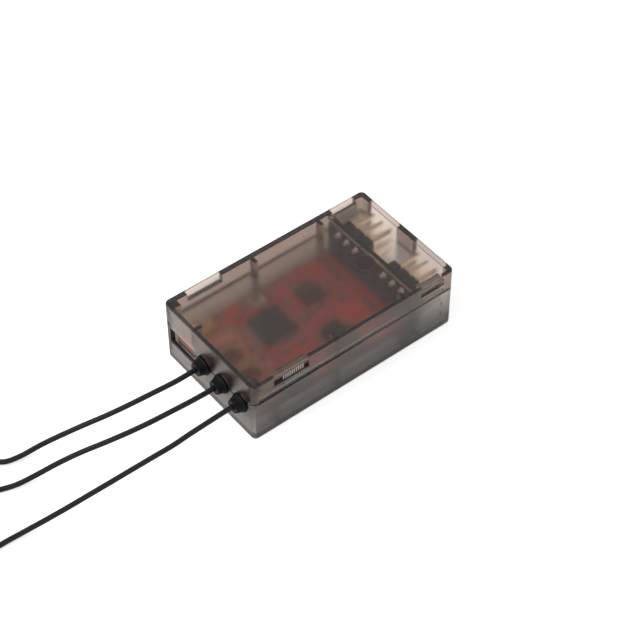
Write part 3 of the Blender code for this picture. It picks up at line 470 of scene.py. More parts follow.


# %% The seam group: a mask of painted shade along the line where the two shells meet
def make_seam_shade():
    """Painted shade along the seam, which runs level round the case, a little wider at the antenna end, and dips
    round the tongue. The sill and side of the notch and the sill of the vent get lines of painted shade as well.

    The height slopes like the lower side of a groove, so a bump turns the painted line away from the bright floor.
    """
    group, source, result = new_group("seam", {"Wander": 0.0}, ("Mask", "Height"))
    x, y, z = axes_of(group)
    sideways = math_node(group, "ABSOLUTE", y)
    at_end = compare(group, x, -CASE_END, END_REACH)
    on_tongue = both(group, at_end, math_node(group, "LESS_THAN", sideways, TONGUE_SIDE))
    height = remap(group, on_tongue, SEAM_HEIGHT + SEAM_LIFT, TONGUE_HEIGHT)
    along = math_node(group, "MULTIPLY", x, SEAM_TAPER, flipped(group, at_end))
    half = math_node(group, "MAXIMUM", math_node(group, "ADD", along, SEAM_HALF), SEAM_LEAST)
    wander = noise(group, surface_place(group), WANDER_SCALE, 2.0)
    shift = math_node(group, "MULTIPLY", wander, source.outputs["Wander"])
    below = math_node(group, "SUBTRACT", height, math_node(group, "ADD", z, shift))
    level = math_node(group, "LESS_THAN", math_node(group, "ABSOLUTE", below), half)
    group.links.new(math_node(group, "MULTIPLY", level, below), result.inputs["Height"])
    between = compare(group, z, (SEAM_HEIGHT + TONGUE_HEIGHT) / 2, (SEAM_HEIGHT - TONGUE_HEIGHT) / 2 + SEAM_HALF)
    upright = both(group, at_end, compare(group, sideways, TONGUE_SIDE, TONGUE_LINE), between)
    sill = both(group, at_end, compare(group, y, NOTCH_MIDDLE, NOTCH_HALF), compare(group, z, NOTCH_SILL, SILL_LINE))
    cut_side = both(group, at_end, compare(group, y, NOTCH_MIDDLE + NOTCH_HALF, CUT_LINE),
                    compare(group, z, CUT_MIDDLE, CUT_HALF))
    vent = both(group, compare(group, x, VENT_MIDDLE, VENT_HALF), compare(group, z, VENT_SILL, VENT_LINE),
                math_node(group, "LESS_THAN", sideways, VENT_DEPTH))
    group.links.new(math_node(group, "MAXIMUM", level, upright, sill, cut_side, vent), result.inputs["Mask"])
    return group


SEAM_SHADE = make_seam_shade()
print("seam group:", len(SEAM_SHADE.nodes), "nodes")


# %% The faces group: a polished top over a frosted underside and frosted sides
TOP_LEVEL = 0.0138


def make_faces():
    """Tells the polished top, the faces under it and the upright sides apart, and gives each its own gloss."""
    group, source, result = new_group("faces", {"Roughness": 0.2, "Side Frost": 0.2, "Under Frost": 0.2},
                                      ("Roughness",))
    level = math_node(group, "ABSOLUTE", axes_of(group, "Normal")[2])
    side = both(group, flipped(group, level), source.outputs["Side Frost"])
    inside = math_node(group, "LESS_THAN", axes_of(group)[2], TOP_LEVEL)
    under = both(group, level, inside, source.outputs["Under Frost"])
    group.links.new(math_node(group, "ADD", source.outputs["Roughness"], side, under), result.inputs["Roughness"])
    return group


FACES = make_faces()
print("faces group:", len(FACES.nodes), "nodes")


# %% The rim group: painted shade on the tops of the walls, where they are seen edge on from above
CASE_SIDE = 0.0133
SIDE_RIM = 0.00048
END_RIM = 0.00062
WINDOW_RANGES = ((VENT_MIDDLE, VENT_HALF), (0.0178, 0.0025))
PORT_RANGES = ((0.0062, 0.00425), (-0.0070, 0.00425))


def make_rim_shade():
    """Paints shade on the top of the walls, but not over the windows and the ports, where no wall stands below."""
    group, source, result = new_group("rim", {"Strength": 1.0}, ("Mask",))
    x, y, z = axes_of(group)
    long_side = math_node(group, "GREATER_THAN", math_node(group, "ABSOLUTE", y), CASE_SIDE - SIDE_RIM)
    for middle, half in WINDOW_RANGES:
        long_side = both(group, long_side, flipped(group, compare(group, x, middle, half)))
    short_side = math_node(group, "GREATER_THAN", math_node(group, "ABSOLUTE", x), CASE_END - END_RIM)
    port_end = math_node(group, "GREATER_THAN", x, 0.0)
    for middle, half in PORT_RANGES:
        over_port = both(group, compare(group, y, middle, half), port_end)
        short_side = both(group, short_side, flipped(group, over_port))
    wall = math_node(group, "MAXIMUM", long_side, short_side)
    on_top = math_node(group, "GREATER_THAN", z, TOP_LEVEL)
    group.links.new(both(group, wall, on_top, source.outputs["Strength"]), result.inputs["Mask"])
    return group


RIM_SHADE = make_rim_shade()
print("rim group:", len(RIM_SHADE.nodes), "nodes")


# %% The outside group: painted shade on the outer faces of the side walls, darker towards the foot
SKIN = 0.0001
FAR_WALL = 0.0119
MOST_SHADE = 0.86


def make_outside():
    """Paints shade evenly on the antenna end's outer face and on the long walls towards the foot, and finds the far
    wall.
    """
    group, source, result = new_group("outside", {"End Shade": 0.0, "Foot Shade": 0.0}, ("Mask", "Far Wall"))
    x, y, z = axes_of(group)
    group.links.new(math_node(group, "GREATER_THAN", y, FAR_WALL), result.inputs["Far Wall"])
    at_end = math_node(group, "LESS_THAN", x, SKIN - CASE_END)
    end_shade = both(group, at_end, source.outputs["End Shade"])
    at_side = math_node(group, "GREATER_THAN", math_node(group, "ABSOLUTE", y), CASE_SIDE - SKIN)
    depth = flipped(group, math_node(group, "DIVIDE", z, SEAM_HEIGHT))
    foot_shade = math_node(group, "MULTIPLY", depth, source.outputs["Foot Shade"])
    side_shade = both(group, at_side, math_node(group, "MINIMUM", foot_shade, MOST_SHADE))
    group.links.new(math_node(group, "MAXIMUM", side_shade, end_shade), result.inputs["Mask"])
    return group


OUTSIDE = make_outside()
print("outside group:", len(OUTSIDE.nodes), "nodes")


# %% Smoked plastic, glossy for the lid and frosted for the tray
def blend_in(tree, colour, mask, tint):
    """Mix a plain tint into a colour by a mask, and return the mixed colour."""
    mixed = tree.nodes.new("ShaderNodeMix")
    mixed.data_type = "RGBA"
    mixed.inputs["B"].default_value = (*tint, 1.0)
    tree.links.new(mask, mixed.inputs["Factor"])
    tree.links.new(colour, mixed.inputs["A"])
    return mixed.outputs["Result"]


CLEAR = (0.93, 0.92, 0.91)
# Painted shade: the near black that the outside, seam and rim masks mix into the colour
PAINTED_SHADE = (0.004, 0.0035, 0.003)


def smoked_plastic(name, tint, density, cloud, side_frost, under_frost, rim_shade_strength, end_shade, foot_shade,
                   far_wall_shade):
    """Clear plastic with its tint in the depth, frost on its faces, and masks that paint shade on its seam, rims and
    outer walls.
    """
    material, tree, shader = new_material(
        name, {"Transmission Weight": 1.0, "IOR": 1.5, "Specular Tint": (0.8, 0.8, 0.8)})
    grain = add_grain(tree, shader, bump=0.000005, colour=CLEAR, gloss=(0.10, 0.15), cloud=cloud, cloud_scale=110.0,
                      grain_scale=2200.0)
    faces = place_group(tree, FACES, Side_Frost=side_frost, Under_Frost=under_frost)
    tree.links.new(grain.outputs["Roughness"], faces.inputs["Roughness"])
    tree.links.new(faces.outputs["Roughness"], shader.inputs["Roughness"])
    # Painted shade along the seam, the tongue, the notch and the vent sill
    seam = place_group(tree, SEAM_SHADE, Wander=0.0001)
    groove = tree.nodes.new("ShaderNodeBump")
    groove.inputs["Distance"].default_value = 1.0
    tree.links.new(seam.outputs["Height"], groove.inputs["Height"])
    tree.links.new(shader.inputs["Normal"].links[0].from_socket, groove.inputs["Normal"])
    tree.links.new(groove.outputs["Normal"], shader.inputs["Normal"])
    # Painted shade on the outer walls: even at the antenna end, darker towards the foot of the long walls
    outside = place_group(tree, OUTSIDE, End_Shade=end_shade, Foot_Shade=foot_shade)
    # Painted shade: the far wall takes a darker, warmer colour than the near wall
    colour = blend_in(tree, grain.outputs["Colour"], outside.outputs["Far Wall"], far_wall_shade)
    # Painted shade from the outside, seam and rim masks
    for group in (outside, seam, place_group(tree, RIM_SHADE, Strength=rim_shade_strength)):
        colour = blend_in(tree, colour, group.outputs["Mask"], PAINTED_SHADE)
    tree.links.new(colour, shader.inputs["Base Color"])
    depth = tree.nodes.new("ShaderNodeVolumeAbsorption")
    depth.inputs["Color"].default_value = (*tint, 1.0)
    depth.inputs["Density"].default_value = density
    tree.links.new(depth.outputs["Volume"], tree.nodes["Material Output"].inputs["Volume"])
    return material


# %% The lid and the tray
SMOKED_LID = smoked_plastic("smoked lid", (0.50, 0.34, 0.24), 860.0, cloud=0.12, side_frost=0.22, under_frost=0.14,
                            rim_shade_strength=0.93, end_shade=0.0, foot_shade=0.0, far_wall_shade=CLEAR)
# The tray's far wall is painted darker and warmer, as shade
SMOKED_TRAY = smoked_plastic("smoked tray", (0.45, 0.37, 0.32), 420.0, cloud=0.28, side_frost=0.40, under_frost=0.20,
                             rim_shade_strength=0.0, end_shade=0.34, foot_shade=1.25, far_wall_shade=(0.72, 0.64, 0.55))


def finish_nodes(material, *names):
    """Give CAD nodes a better material, in the slots that they already have."""
    for name in names:
        for slot in NODES[name].material_slots:
            slot.material = material


finish_nodes(SMOKED_LID, "case_top")
finish_nodes(SMOKED_TRAY, "case_bottom")
print("smoked plastics:", SMOKED_LID.name, "and", SMOKED_TRAY.name)

# %% [markdown]
# ## Boards, chips and metal
#
# Circuit boards are glass fibre under a coloured lacquer. The lacquer is glossy, and the copper tracks beneath it
# show as lighter lines. A brick pattern of fine lines makes the tracks on the board's flat sides, and stays part of
# the material because the tracks are a few hundredths of a millimetre high. Where copper fills a whole area, the
# lacquer is a brighter red. Pale, orange and tan patches at the antenna end of the main board are painted light,
# and dark brown strips along its far edge and its antenna end are painted shade. The sawn edges are bare, so there
# the plain laminate shows. Metals, rubber and resins differ only in their colour, their gloss and the size of their
# grain, so one function makes them all.

# %% The tracks group: fine lines of copper under the lacquer
BRICKS = {"Mortar Size": 0.07, "Mortar Smooth": 0.2, "Brick Width": 1.7, "Row Height": 0.24}
PATCH_SCALE = 180.0


def make_tracks():
    """Two brick patterns at right angles, each in its own patches. Puts out a mask of the tracks."""
    group, source, result = new_group("tracks", {"Scale": 300.0}, ("Mask",))
    place = surface_place(group)
    lines = []
    for turn in (0.0, math.pi / 2):
        turned = group.nodes.new("ShaderNodeMapping")
        turned.inputs["Rotation"].default_value = (0.0, 0.0, turn)
        group.links.new(place, turned.inputs["Vector"])
        bricks = group.nodes.new("ShaderNodeTexBrick")
        for label, value in BRICKS.items():
            bricks.inputs[label].default_value = value
        group.links.new(turned.outputs["Vector"], bricks.inputs["Vector"])
        group.links.new(source.outputs["Scale"], bricks.inputs["Scale"])
        lines.append(bricks.outputs["Fac"])
    chosen = math_node(group, "GREATER_THAN", noise(group, place, PATCH_SCALE, 1.0), 0.5)
    first = both(group, lines[0], chosen)
    second = both(group, lines[1], flipped(group, chosen))
    group.links.new(math_node(group, "MAXIMUM", first, second), result.inputs["Mask"])
    return group


TRACKS = make_tracks()
print("tracks group:", len(TRACKS.nodes), "nodes")


# %% The area group: a tinted area, for copper fill and painted light and shade, and the edge group: a board's sawn sides
TINT_OUTER = 1.15
TINT_INNER = 0.85


def make_area_tint():
    """A soft-edged upright box, seen from above, as a mask."""
    group, source, result = new_group(
        "area tint", {"Middle X": 0.0, "Middle Y": 0.0, "Half X": 0.002, "Half Y": 0.002}, ("Mask",))
    masks = []
    for name, along in zip("XY", axes_of(group)):
        away = math_node(group, "ABSOLUTE", math_node(group, "SUBTRACT", along, source.outputs[f"Middle {name}"]))
        soft = group.nodes.new("ShaderNodeMapRange")
        soft.inputs["From Min"].default_value = TINT_OUTER
        soft.inputs["From Max"].default_value = TINT_INNER
        feed(group, math_node(group, "DIVIDE", away, source.outputs[f"Half {name}"]), soft.inputs["Value"])
        masks.append(soft.outputs["Result"])
    group.links.new(both(group, *masks), result.inputs["Mask"])
    return group


def make_sawn(axis):
    """One on every side of a board but the two flat ones, which face along the given axis."""
    group, source, result = new_group(f"sawn edge {axis}", {"Strength": 1.0}, ("Mask",))
    flat = math_node(group, "ABSOLUTE", axes_of(group, "Normal")["XYZ".index(axis)])
    side = math_node(group, "LESS_THAN", flat, 0.5)
    group.links.new(both(group, side, source.outputs["Strength"]), result.inputs["Mask"])
    return group


AREA_TINT = make_area_tint()
SAWN = {axis: make_sawn(axis) for axis in "XZ"}
print("board groups:", AREA_TINT.name, *(group.name for group in SAWN.values()))


# %% Lacquered boards
TRACK_SCALE = 420.0
TRACK_SHARE = 0.55


def lacquered_board(name, colour, track, areas, laminate, axis):
    """Lacquer with tracks under it, areas of copper fill and of painted light and shade, and bare laminate where it
    is sawn.
    """
    material, tree, shader = new_material(name, {"Coat Weight": 0.25, "Coat Roughness": 0.15})
    grain = add_grain(tree, shader, bump=0.00001, colour=colour, gloss=(0.3, 0.48), cloud=0.9, cloud_scale=160.0,
                      grain_scale=2600.0)
    mixed = grain.outputs["Colour"]
    for x, y, half_x, half_y, tint in areas:
        area = place_group(tree, AREA_TINT, Middle_X=x * MM, Middle_Y=y * MM, Half_X=half_x * MM, Half_Y=half_y * MM)
        mixed = blend_in(tree, mixed, area.outputs["Mask"], tint)
    tracks = place_group(tree, TRACKS, Scale=TRACK_SCALE)
    mixed = blend_in(tree, mixed, math_node(tree, "MULTIPLY", tracks.outputs["Mask"], TRACK_SHARE), track)
    sawn = place_group(tree, SAWN[axis], Strength=1.0)
    mixed = blend_in(tree, mixed, sawn.outputs["Mask"], laminate)
    tree.links.new(mixed, shader.inputs["Base Color"])
    return material


BRIGHT_FILL = (0.78, 0.050, 0.048)
BOARD_AREAS = (
    # Painted light: the pale, orange and tan patches. Painted shade: the two dark brown strips.
    (-18.8, -9.8, 3.2, 2.0, (0.80, 0.55, 0.42)),
    (-15.5, 0.6, 3.2, 7.6, (0.78, 0.33, 0.22)),
    (-3.0, 11.4, 17.0, 1.0, (0.26, 0.15, 0.10)),
    (-21.6, 7.8, 1.2, 5.0, (0.20, 0.15, 0.115)),
    (-17.0, 10.4, 0.8, 1.8, (0.50, 0.32, 0.17)),
    # Copper fill, where the lacquer is a brighter red
    (-10.0, 9.5, 2.6, 1.8, BRIGHT_FILL),
    (-7.0, -4.0, 2.6, 1.6, BRIGHT_FILL),
    (8.4, -4.2, 3.6, 3.0, BRIGHT_FILL),
    (7.5, 8.6, 3.8, 2.4, BRIGHT_FILL),
)
RED_BOARD = lacquered_board("red board", colour=(0.56, 0.075, 0.062), track=(0.68, 0.16, 0.12), areas=BOARD_AREAS,
                            laminate=(0.04, 0.027, 0.02), axis="Z")
DARK_BOARD = lacquered_board("dark board", colour=(0.030, 0.020, 0.018), track=(0.06, 0.035, 0.028), areas=(),
                             laminate=(0.028, 0.031, 0.026), axis="X")
print("boards:", len(BOARD_AREAS), "areas on the main board")


# %% Plain finishes: nylon, metals, rubber, resins and a lens
NYLON = plain_finish("black nylon", {"Specular IOR Level": 0.5}, bump=0.00001, colour=(0.016, 0.016, 0.019),
                     gloss=(0.35, 0.5), cloud_scale=400.0, grain_scale=3500.0)
GOLD = plain_finish("gold plate", {"Metallic": 1.0}, bump=0.000003, colour=(0.95, 0.84, 0.66),
                    gloss=(0.16, 0.3), cloud=0.15)
DULL_GOLD = plain_finish("dull gold", {"Metallic": 1.0}, bump=0.000004, colour=(0.42, 0.25, 0.15),
                         gloss=(0.35, 0.5), cloud_scale=700.0)
NICKEL = plain_finish("nickel plate", {"Metallic": 1.0}, bump=0.000004, colour=(0.74, 0.72, 0.68),
                      gloss=(0.2, 0.38), cloud=0.2)
RUBBER = plain_finish("grommet rubber", {"Specular IOR Level": 0.08}, bump=0.00002,
                      colour=(0.004, 0.004, 0.005), gloss=(0.42, 0.62), cloud=0.4, cloud_scale=500.0,
                      grain_scale=3000.0)
RESIN = plain_finish("chip resin", {}, bump=0.000012, colour=(0.022, 0.022, 0.024), gloss=(0.4, 0.55),
                     cloud_scale=500.0)
RED_RESIN = plain_finish("brown resin", {}, bump=0.000012, colour=(0.085, 0.030, 0.026), gloss=(0.45, 0.6),
                         cloud_scale=500.0)
TANTALUM = plain_finish("tantalum resin", {}, bump=0.00001, colour=(0.60, 0.36, 0.16), gloss=(0.3, 0.45),
                        cloud=0.2, cloud_scale=500.0, grain_scale=4000.0)
LENS = plain_finish("light lens", {"Transmission Weight": 0.4, "IOR": 1.5}, bump=0.00001,
                    colour=(0.86, 0.84, 0.70), gloss=(0.1, 0.2), cloud=0.1, cloud_scale=500.0,
                    grain_scale=4000.0)
print("materials so far:", len(bpy.data.materials))


# %% The legs group: the bright legs round a chip's dark body
def make_legs():
    """One outside an upright box, seen from above, which is where the legs are."""
    group, source, result = new_group("chip legs", {"Middle X": 0.0, "Middle Y": 0.0, "Half": 0.002}, ("Mask",))
    aways = [
        math_node(group, "ABSOLUTE", math_node(group, "SUBTRACT", along, source.outputs[f"Middle {name}"]))
        for name, along in zip("XY", axes_of(group))
    ]
    beyond = math_node(group, "GREATER_THAN", math_node(group, "MAXIMUM", *aways), source.outputs["Half"])
    group.links.new(beyond, result.inputs["Mask"])
    return group


LEGS = make_legs()
TINNED = (0.66, 0.64, 0.60)
CHIP_BODY_HALF = 0.00352


def chip_with_legs(name, node, half):
    """Black resin inside the half width, tinned metal outside it."""
    low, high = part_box(node)
    material, tree, shader = new_material(name, {})
    grain = add_grain(tree, shader, bump=0.000012, colour=(0.032, 0.031, 0.032), gloss=(0.4, 0.55),
                      cloud_scale=500.0)
    legs = place_group(tree, LEGS, Middle_X=(low[0] + high[0]) / 2, Middle_Y=(low[1] + high[1]) / 2, Half=half)
    mixed = blend_in(tree, grain.outputs["Colour"], legs.outputs["Mask"], TINNED)
    tree.links.new(mixed, shader.inputs["Base Color"])
    tree.links.new(legs.outputs["Mask"], shader.inputs["Metallic"])
    return material


CONTROLLER_RESIN = chip_with_legs("controller resin", "controller_chip", CHIP_BODY_HALF)
print("chip finish:", CONTROLLER_RESIN.name)

# %% Hand the finishes to the nodes
PORTS = range(1, 9)
PINS = range(1, 4)
LEADS = range(1, 4)
finish_nodes(RED_BOARD, "main_board")
finish_nodes(DARK_BOARD, "port_board")
finish_nodes(NYLON, "side_connector", *(f"port_block_{port}" for port in PORTS))
finish_nodes(GOLD, *(f"port_{port}_pin_{pin}" for port in PORTS for pin in PINS))
finish_nodes(DULL_GOLD, *(f"antenna_{kind}_{lead}" for kind in ("socket", "plug") for lead in LEADS))
finish_nodes(NICKEL, "crystal")
finish_nodes(RUBBER, *(f"antenna_grommet_{lead}" for lead in LEADS))
finish_nodes(RED_RESIN, "radio_chip")
finish_nodes(RESIN, "voltage_regulator")
finish_nodes(CONTROLLER_RESIN, "controller_chip")
finish_nodes(TANTALUM, "tantalum_capacitor")
finish_nodes(LENS, "status_led_1", "status_led_2")
print("materials:", len(bpy.data.materials))

# %% [markdown]
# ## Solder on the pin tails
#
# Every servo pin passes through the upright board and is soldered behind it. Melted solder climbs the pin and wets
# the pad, so a joint is a small cone with a hollow flank. Turning one profile round the pin's axis gives that
# shape. All joints share one mesh, since they are one kind of thing and never move apart. The top row is bright
# solder, and the rows below take the dark board's colour as painted shade.


# %% Turn a joint round each pin tail
JOINT_PROFILE = ((0.74, 0.0), (0.62, 0.08), (0.55, 0.22), (0.51, 0.42), (0.49, 0.62), (0.46, 0.80), (0.26, 0.91))
JOINT_STEPS = 14
JOINT_TIP = 0.95
TOP_ROW_HEIGHT = 0.010
TOP_ROW_WIDTH = 0.84


def solder_joints():
    """One hollow cone round the tail of each pin, all in one mesh."""
    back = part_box("port_board")[0][0]
    builder = bmesh.new()
    for port in PORTS:
        for pin in PINS:
            low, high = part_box(f"port_{port}_pin_{pin}")
            y, z = (low[1] + high[1]) / 2, (low[2] + high[2]) / 2
            width = MM * (TOP_ROW_WIDTH if z > TOP_ROW_HEIGHT else 1.0)
            rings = [
                add_ring(builder, Vector((back - out * MM, y, z)), Vector((0.0, radius * width, 0.0)),
                         Vector((0.0, 0.0, radius * width)), JOINT_STEPS)
                for radius, out in JOINT_PROFILE
            ]
            faces = join_rings(builder, rings)
            tip = builder.verts.new((back - JOINT_TIP * MM, y, z))
            for here, there in zip(rings[-1], [*rings[-1][1:], rings[-1][0]]):
                faces.append(builder.faces.new((here, there, tip)))
            # Painted shade: joints below the top row take the dark board material
            for face in faces:
                face.material_index = int(z < TOP_ROW_HEIGHT)
    bmesh.ops.recalc_face_normals(builder, faces=builder.faces)
    return add_piece("port_solder", builder)


SOLDER = plain_finish("solder", {"Metallic": 0.8}, bump=0.000006, colour=(0.90, 0.87, 0.82), gloss=(0.3, 0.5),
                      cloud=0.2, grain_scale=4000.0)
# The dark board material paints shade on the joints below the top row
settle(solder_joints(), "nickel", SOLDER, DARK_BOARD)
print("solder joints:", len(PORTS) * len(PINS))

# %% [markdown]
# ## Chip capacitors and resistors
#
# Dozens of tiny ceramic parts stand round the chips. Each has a body and two tinned end caps, with a wedge of
# solder in front of each cap. Capacitors are tan all through, and resistors are thinner with a black top. A small
# function adds one part to a shared mesh, and a table says where each one goes and which way it lies.

# %% Places of the small parts, in millimetres: x, y, turned or not
CAPACITORS = (
    (-13.1, 5.4, 1), (-13.1, 0.2, 1), (-10.4, 8.3, 0), (-8.4, -3.9, 0), (-5.2, -3.9, 0), (-1.4, 5.4, 1),
    (-1.4, 0.4, 1), (2.2, 7.5, 0), (4.8, 7.5, 0), (6.7, 5.2, 1), (0.6, 0.9, 0), (4.2, -5.6, 1), (4.2, -9.2, 1),
    (-2.6, -6.4, 1), (-2.6, -9.4, 1), (-8.2, 9.6, 1), (-2.6, 9.4, 1), (-14.3, 7.2, 1),
)
RESISTORS = (
    (10.4, 9.9, 0), (10.4, 8.2, 0), (10.4, 6.5, 0), (10.4, 4.8, 0), (10.4, -3.2, 0), (10.4, -4.9, 0),
    (10.4, -6.6, 0), (10.4, -8.3, 0), (6.7, 2.6, 1), (3.4, 0.9, 0), (-13.0, -2.6, 0), (-13.0, -6.4, 0),
    (-18.9, 4.9, 1), (-13.0, 2.7, 1), (7.4, 0.0, 0), (6.4, -8.0, 1),
)
print("small parts:", len(CAPACITORS), "capacitors and", len(RESISTORS), "resistors")


# %% Build a body, a cap and a wedge of solder
def add_brick(builder, low, high, edge, slot):
    """A block with rounded edges, given one material slot."""
    before = set(builder.faces)
    made = bmesh.ops.create_cube(builder, size=1.0)["verts"]
    low, high = Vector(low), Vector(high)
    bmesh.ops.scale(builder, vec=high - low, verts=made)
    bmesh.ops.translate(builder, vec=(low + high) / 2, verts=made)
    edges = list({side for vert in made for side in vert.link_edges})
    bmesh.ops.bevel(builder, geom=edges, offset=edge, segments=2, profile=0.6, affect="EDGES")
    for face in builder.faces:
        if face not in before:
            face.material_index = slot


def add_wedge(builder, start, reach, half, height, slot):
    """Solder that slopes from a cap down to the board, with its foot away from the part."""
    corners = [
        builder.verts.new(point) for side in (-half, half)
        for point in ((start, side, 0.0), (start + reach, side, 0.0), (start, side, height))
    ]
    for order in ((0, 1, 2), (5, 4, 3), (0, 3, 4, 1), (1, 4, 5, 2), (2, 5, 3, 0)):
        builder.faces.new([corners[number] for number in order]).material_index = slot


# %% Put all parts of one kind in one mesh
CAP_SHARE = 0.24
CAP_EDGE = 0.00005
BODY_INSET = 0.00002
WEDGE_WIDTH = 0.9
WEDGE_HEIGHT = 0.7
BOARD_GAP = 0.00001


def small_parts(name, places, length, width, height):
    """Every part of one kind in one mesh: a body, two caps and a wedge of solder before each cap."""
    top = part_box("main_board")[1][2] + BOARD_GAP
    whole = bmesh.new()
    cap, half = length * CAP_SHARE, width / 2
    body = Vector((length / 2 - cap, half - BODY_INSET, height - BODY_INSET))
    for x, y, turned in places:
        part = bmesh.new()
        add_brick(part, (-body.x, -body.y, 0.0), body, CAP_EDGE / 2, 0)
        for way in (-1, 1):
            near, far = sorted((way * (length / 2 - cap), way * length / 2))
            add_brick(part, (near, -half, 0.0), (far, half, height), CAP_EDGE, 1)
            add_wedge(part, way * length / 2, way * cap, half * WEDGE_WIDTH, height * WEDGE_HEIGHT, 1)
        bmesh.ops.recalc_face_normals(part, faces=part.faces)
        turn = Matrix.Rotation(math.pi / 2 * turned, 4, "Z")
        bmesh.ops.transform(part, matrix=Matrix.Translation((x * MM, y * MM, top)) @ turn, verts=part.verts)
        mesh = bpy.data.meshes.new("part")
        part.to_mesh(mesh)
        part.free()
        whole.from_mesh(mesh)
        bpy.data.meshes.remove(mesh)
    return add_piece(name, whole)


CERAMIC = plain_finish("tan ceramic", {}, bump=0.000004, colour=(0.42, 0.27, 0.16), gloss=(0.35, 0.5),
                       cloud=0.2)
BLACK_GLAZE = plain_finish("black glaze", {}, bump=0.000004, colour=(0.02, 0.02, 0.022), gloss=(0.2, 0.35),
                           cloud=0.2)
CAP_SOLDER = plain_finish("dull solder", {"Metallic": 0.5}, bump=0.000006, colour=(0.46, 0.36, 0.31),
                          gloss=(0.4, 0.6), grain_scale=4000.0)
settle(small_parts("chip_capacitors", CAPACITORS, length=0.0016, width=0.0008, height=0.0008), "nickel",
       CERAMIC, CAP_SOLDER)
settle(small_parts("chip_resistors", RESISTORS, length=0.0014, width=0.0007, height=0.00045), "nickel",
       BLACK_GLAZE, CAP_SOLDER)
print("finishes of the small parts:", CERAMIC.name, "and", BLACK_GLAZE.name)

# %% [markdown]
# ## Bars of the vent and contacts of the side connector
#
# The near vent window has a comb of slim upright bars, which keep a finger off the board and let the air through.
# Behind it stands a connector with a row of pale contacts. Each contact is a strip that lies in its slot and bends
# over the top of the connector. Bars, contacts and the small red-brown latch arm beside the last one are all flat
# outlines pushed out to their width, which is quicker to draw and to change than a mesh built face by face.

# %% Bend a strip into each slot
CONTACT_COUNT = 10
CONTACT_PITCH = 0.0005
CONTACT_WIDTH = 0.00023
CONTACT_OUTLINE = ((-0.05, -2.1), (-0.05, -0.08), (0.04, 0.06), (0.22, 0.11), (0.85, 0.11), (0.85, 0.02),
                   (0.24, 0.02), (0.12, -0.03), (0.08, -0.12), (0.08, -2.1))
LATCH_OUTLINE = ((0.0, -1.9), (-0.9, -1.7), (-1.3, -1.2), (-1.3, -0.3), (-1.0, -0.15), (-0.6, -0.5), (0.0, -0.55))


def push_out(builder, outline, way):
    """A closed solid from a flat outline of points, pushed out along the given way."""
    face = builder.faces.new([builder.verts.new(point) for point in outline])
    grown = bmesh.ops.extrude_face_region(builder, geom=[face])
    moved = [item for item in grown["geom"] if isinstance(item, bmesh.types.BMVert)]
    bmesh.ops.translate(builder, vec=way, verts=moved)


def connector_contacts():
    """A row of bent strips, one in each slot of the connector."""
    low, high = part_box("side_connector")
    middle = (low[0] + high[0]) / 2
    builder = bmesh.new()
    for number in range(CONTACT_COUNT):
        x = middle + (number - (CONTACT_COUNT - 1) / 2) * CONTACT_PITCH - CONTACT_WIDTH / 2
        push_out(builder, [(x, low[1] + y * MM, high[2] + z * MM) for y, z in CONTACT_OUTLINE],
                 (CONTACT_WIDTH, 0.0, 0.0))
    bmesh.ops.recalc_face_normals(builder, faces=builder.faces)
    return add_piece("connector_contacts", builder)


LATCH_INSET = 0.0001
LATCH_WIDTH = 0.0009
LATCH_EDGE = 0.00006


def connector_latch():
    """The red-brown arm beside the last contact."""
    low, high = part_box("side_connector")
    builder = bmesh.new()
    push_out(builder, [(low[0] + x * MM, low[1] + LATCH_INSET, high[2] + z * MM) for x, z in LATCH_OUTLINE],
             (0.0, LATCH_WIDTH, 0.0))
    bmesh.ops.bevel(builder, geom=list(builder.edges), offset=LATCH_EDGE, segments=2, affect="EDGES")
    bmesh.ops.recalc_face_normals(builder, faces=builder.faces)
    return add_piece("connector_latch", builder)


# %% Stand the bars in the vent, and finish the vent and the connector
BAR_COUNT = 10
BAR_FIRST = -0.01632
BAR_PITCH = 0.00048
BAR_OUTLINE = ((-0.04, 0.10), (0.04, 0.10), (0.07, 0.13), (0.07, 0.17), (-0.07, 0.17), (-0.07, 0.13))
GRILLE_FOOT = 0.0119
GRILLE_HEIGHT = 0.00125
BAR_PLASTIC = plain_finish("pale bar plastic", {"Specular IOR Level": 0.4}, bump=0.000003,
                           colour=(0.86, 0.76, 0.70), gloss=(0.3, 0.45))
TIN = plain_finish("tinned strip", {"Metallic": 0.1}, bump=0.000003, colour=(0.95, 0.88, 0.80),
                   gloss=(0.3, 0.45), cloud=0.15)
RED_NYLON = plain_finish("red nylon", {}, bump=0.000006, colour=(0.42, 0.07, 0.04), gloss=(0.35, 0.5),
                         cloud_scale=600.0, grain_scale=4000.0)


def vent_grille():
    """A comb of slim bars in the near vent window, down from its lintel."""
    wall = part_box("case_top")[0][1]
    builder = bmesh.new()
    for number in range(BAR_COUNT):
        x = BAR_FIRST + number * BAR_PITCH
        outline = [(x + across * MM, wall + deep * MM, GRILLE_FOOT) for across, deep in BAR_OUTLINE]
        push_out(builder, outline, (0.0, 0.0, GRILLE_HEIGHT))
    bmesh.ops.recalc_face_normals(builder, faces=builder.faces)
    return add_piece("vent_grille", builder)


settle(vent_grille(), "smoked_plastic", BAR_PLASTIC)
settle(connector_contacts(), "gold_plate", TIN)
settle(connector_latch(), "black_nylon", RED_NYLON)
print("contacts:", CONTACT_COUNT, "and bars:", BAR_COUNT)

# %% [markdown]
# ## Numbers beside the servo ports
#
# Plain numbers stand on the side wall beside the four rows of ports. A text curve gives clean digits without any
# drawing, and it is turned into a mesh with hardly any depth, like a thin coat of paint on the plastic.

# %% Paint the numbers
ROW_NUMBERS = (("1", 0.0016), ("2", 0.0040), ("3", 0.0066), ("4", 0.0105))
NUMBER_X = 0.0204
NUMBER_SIZE = 0.0013
PAINT_DEPTH = 0.00002


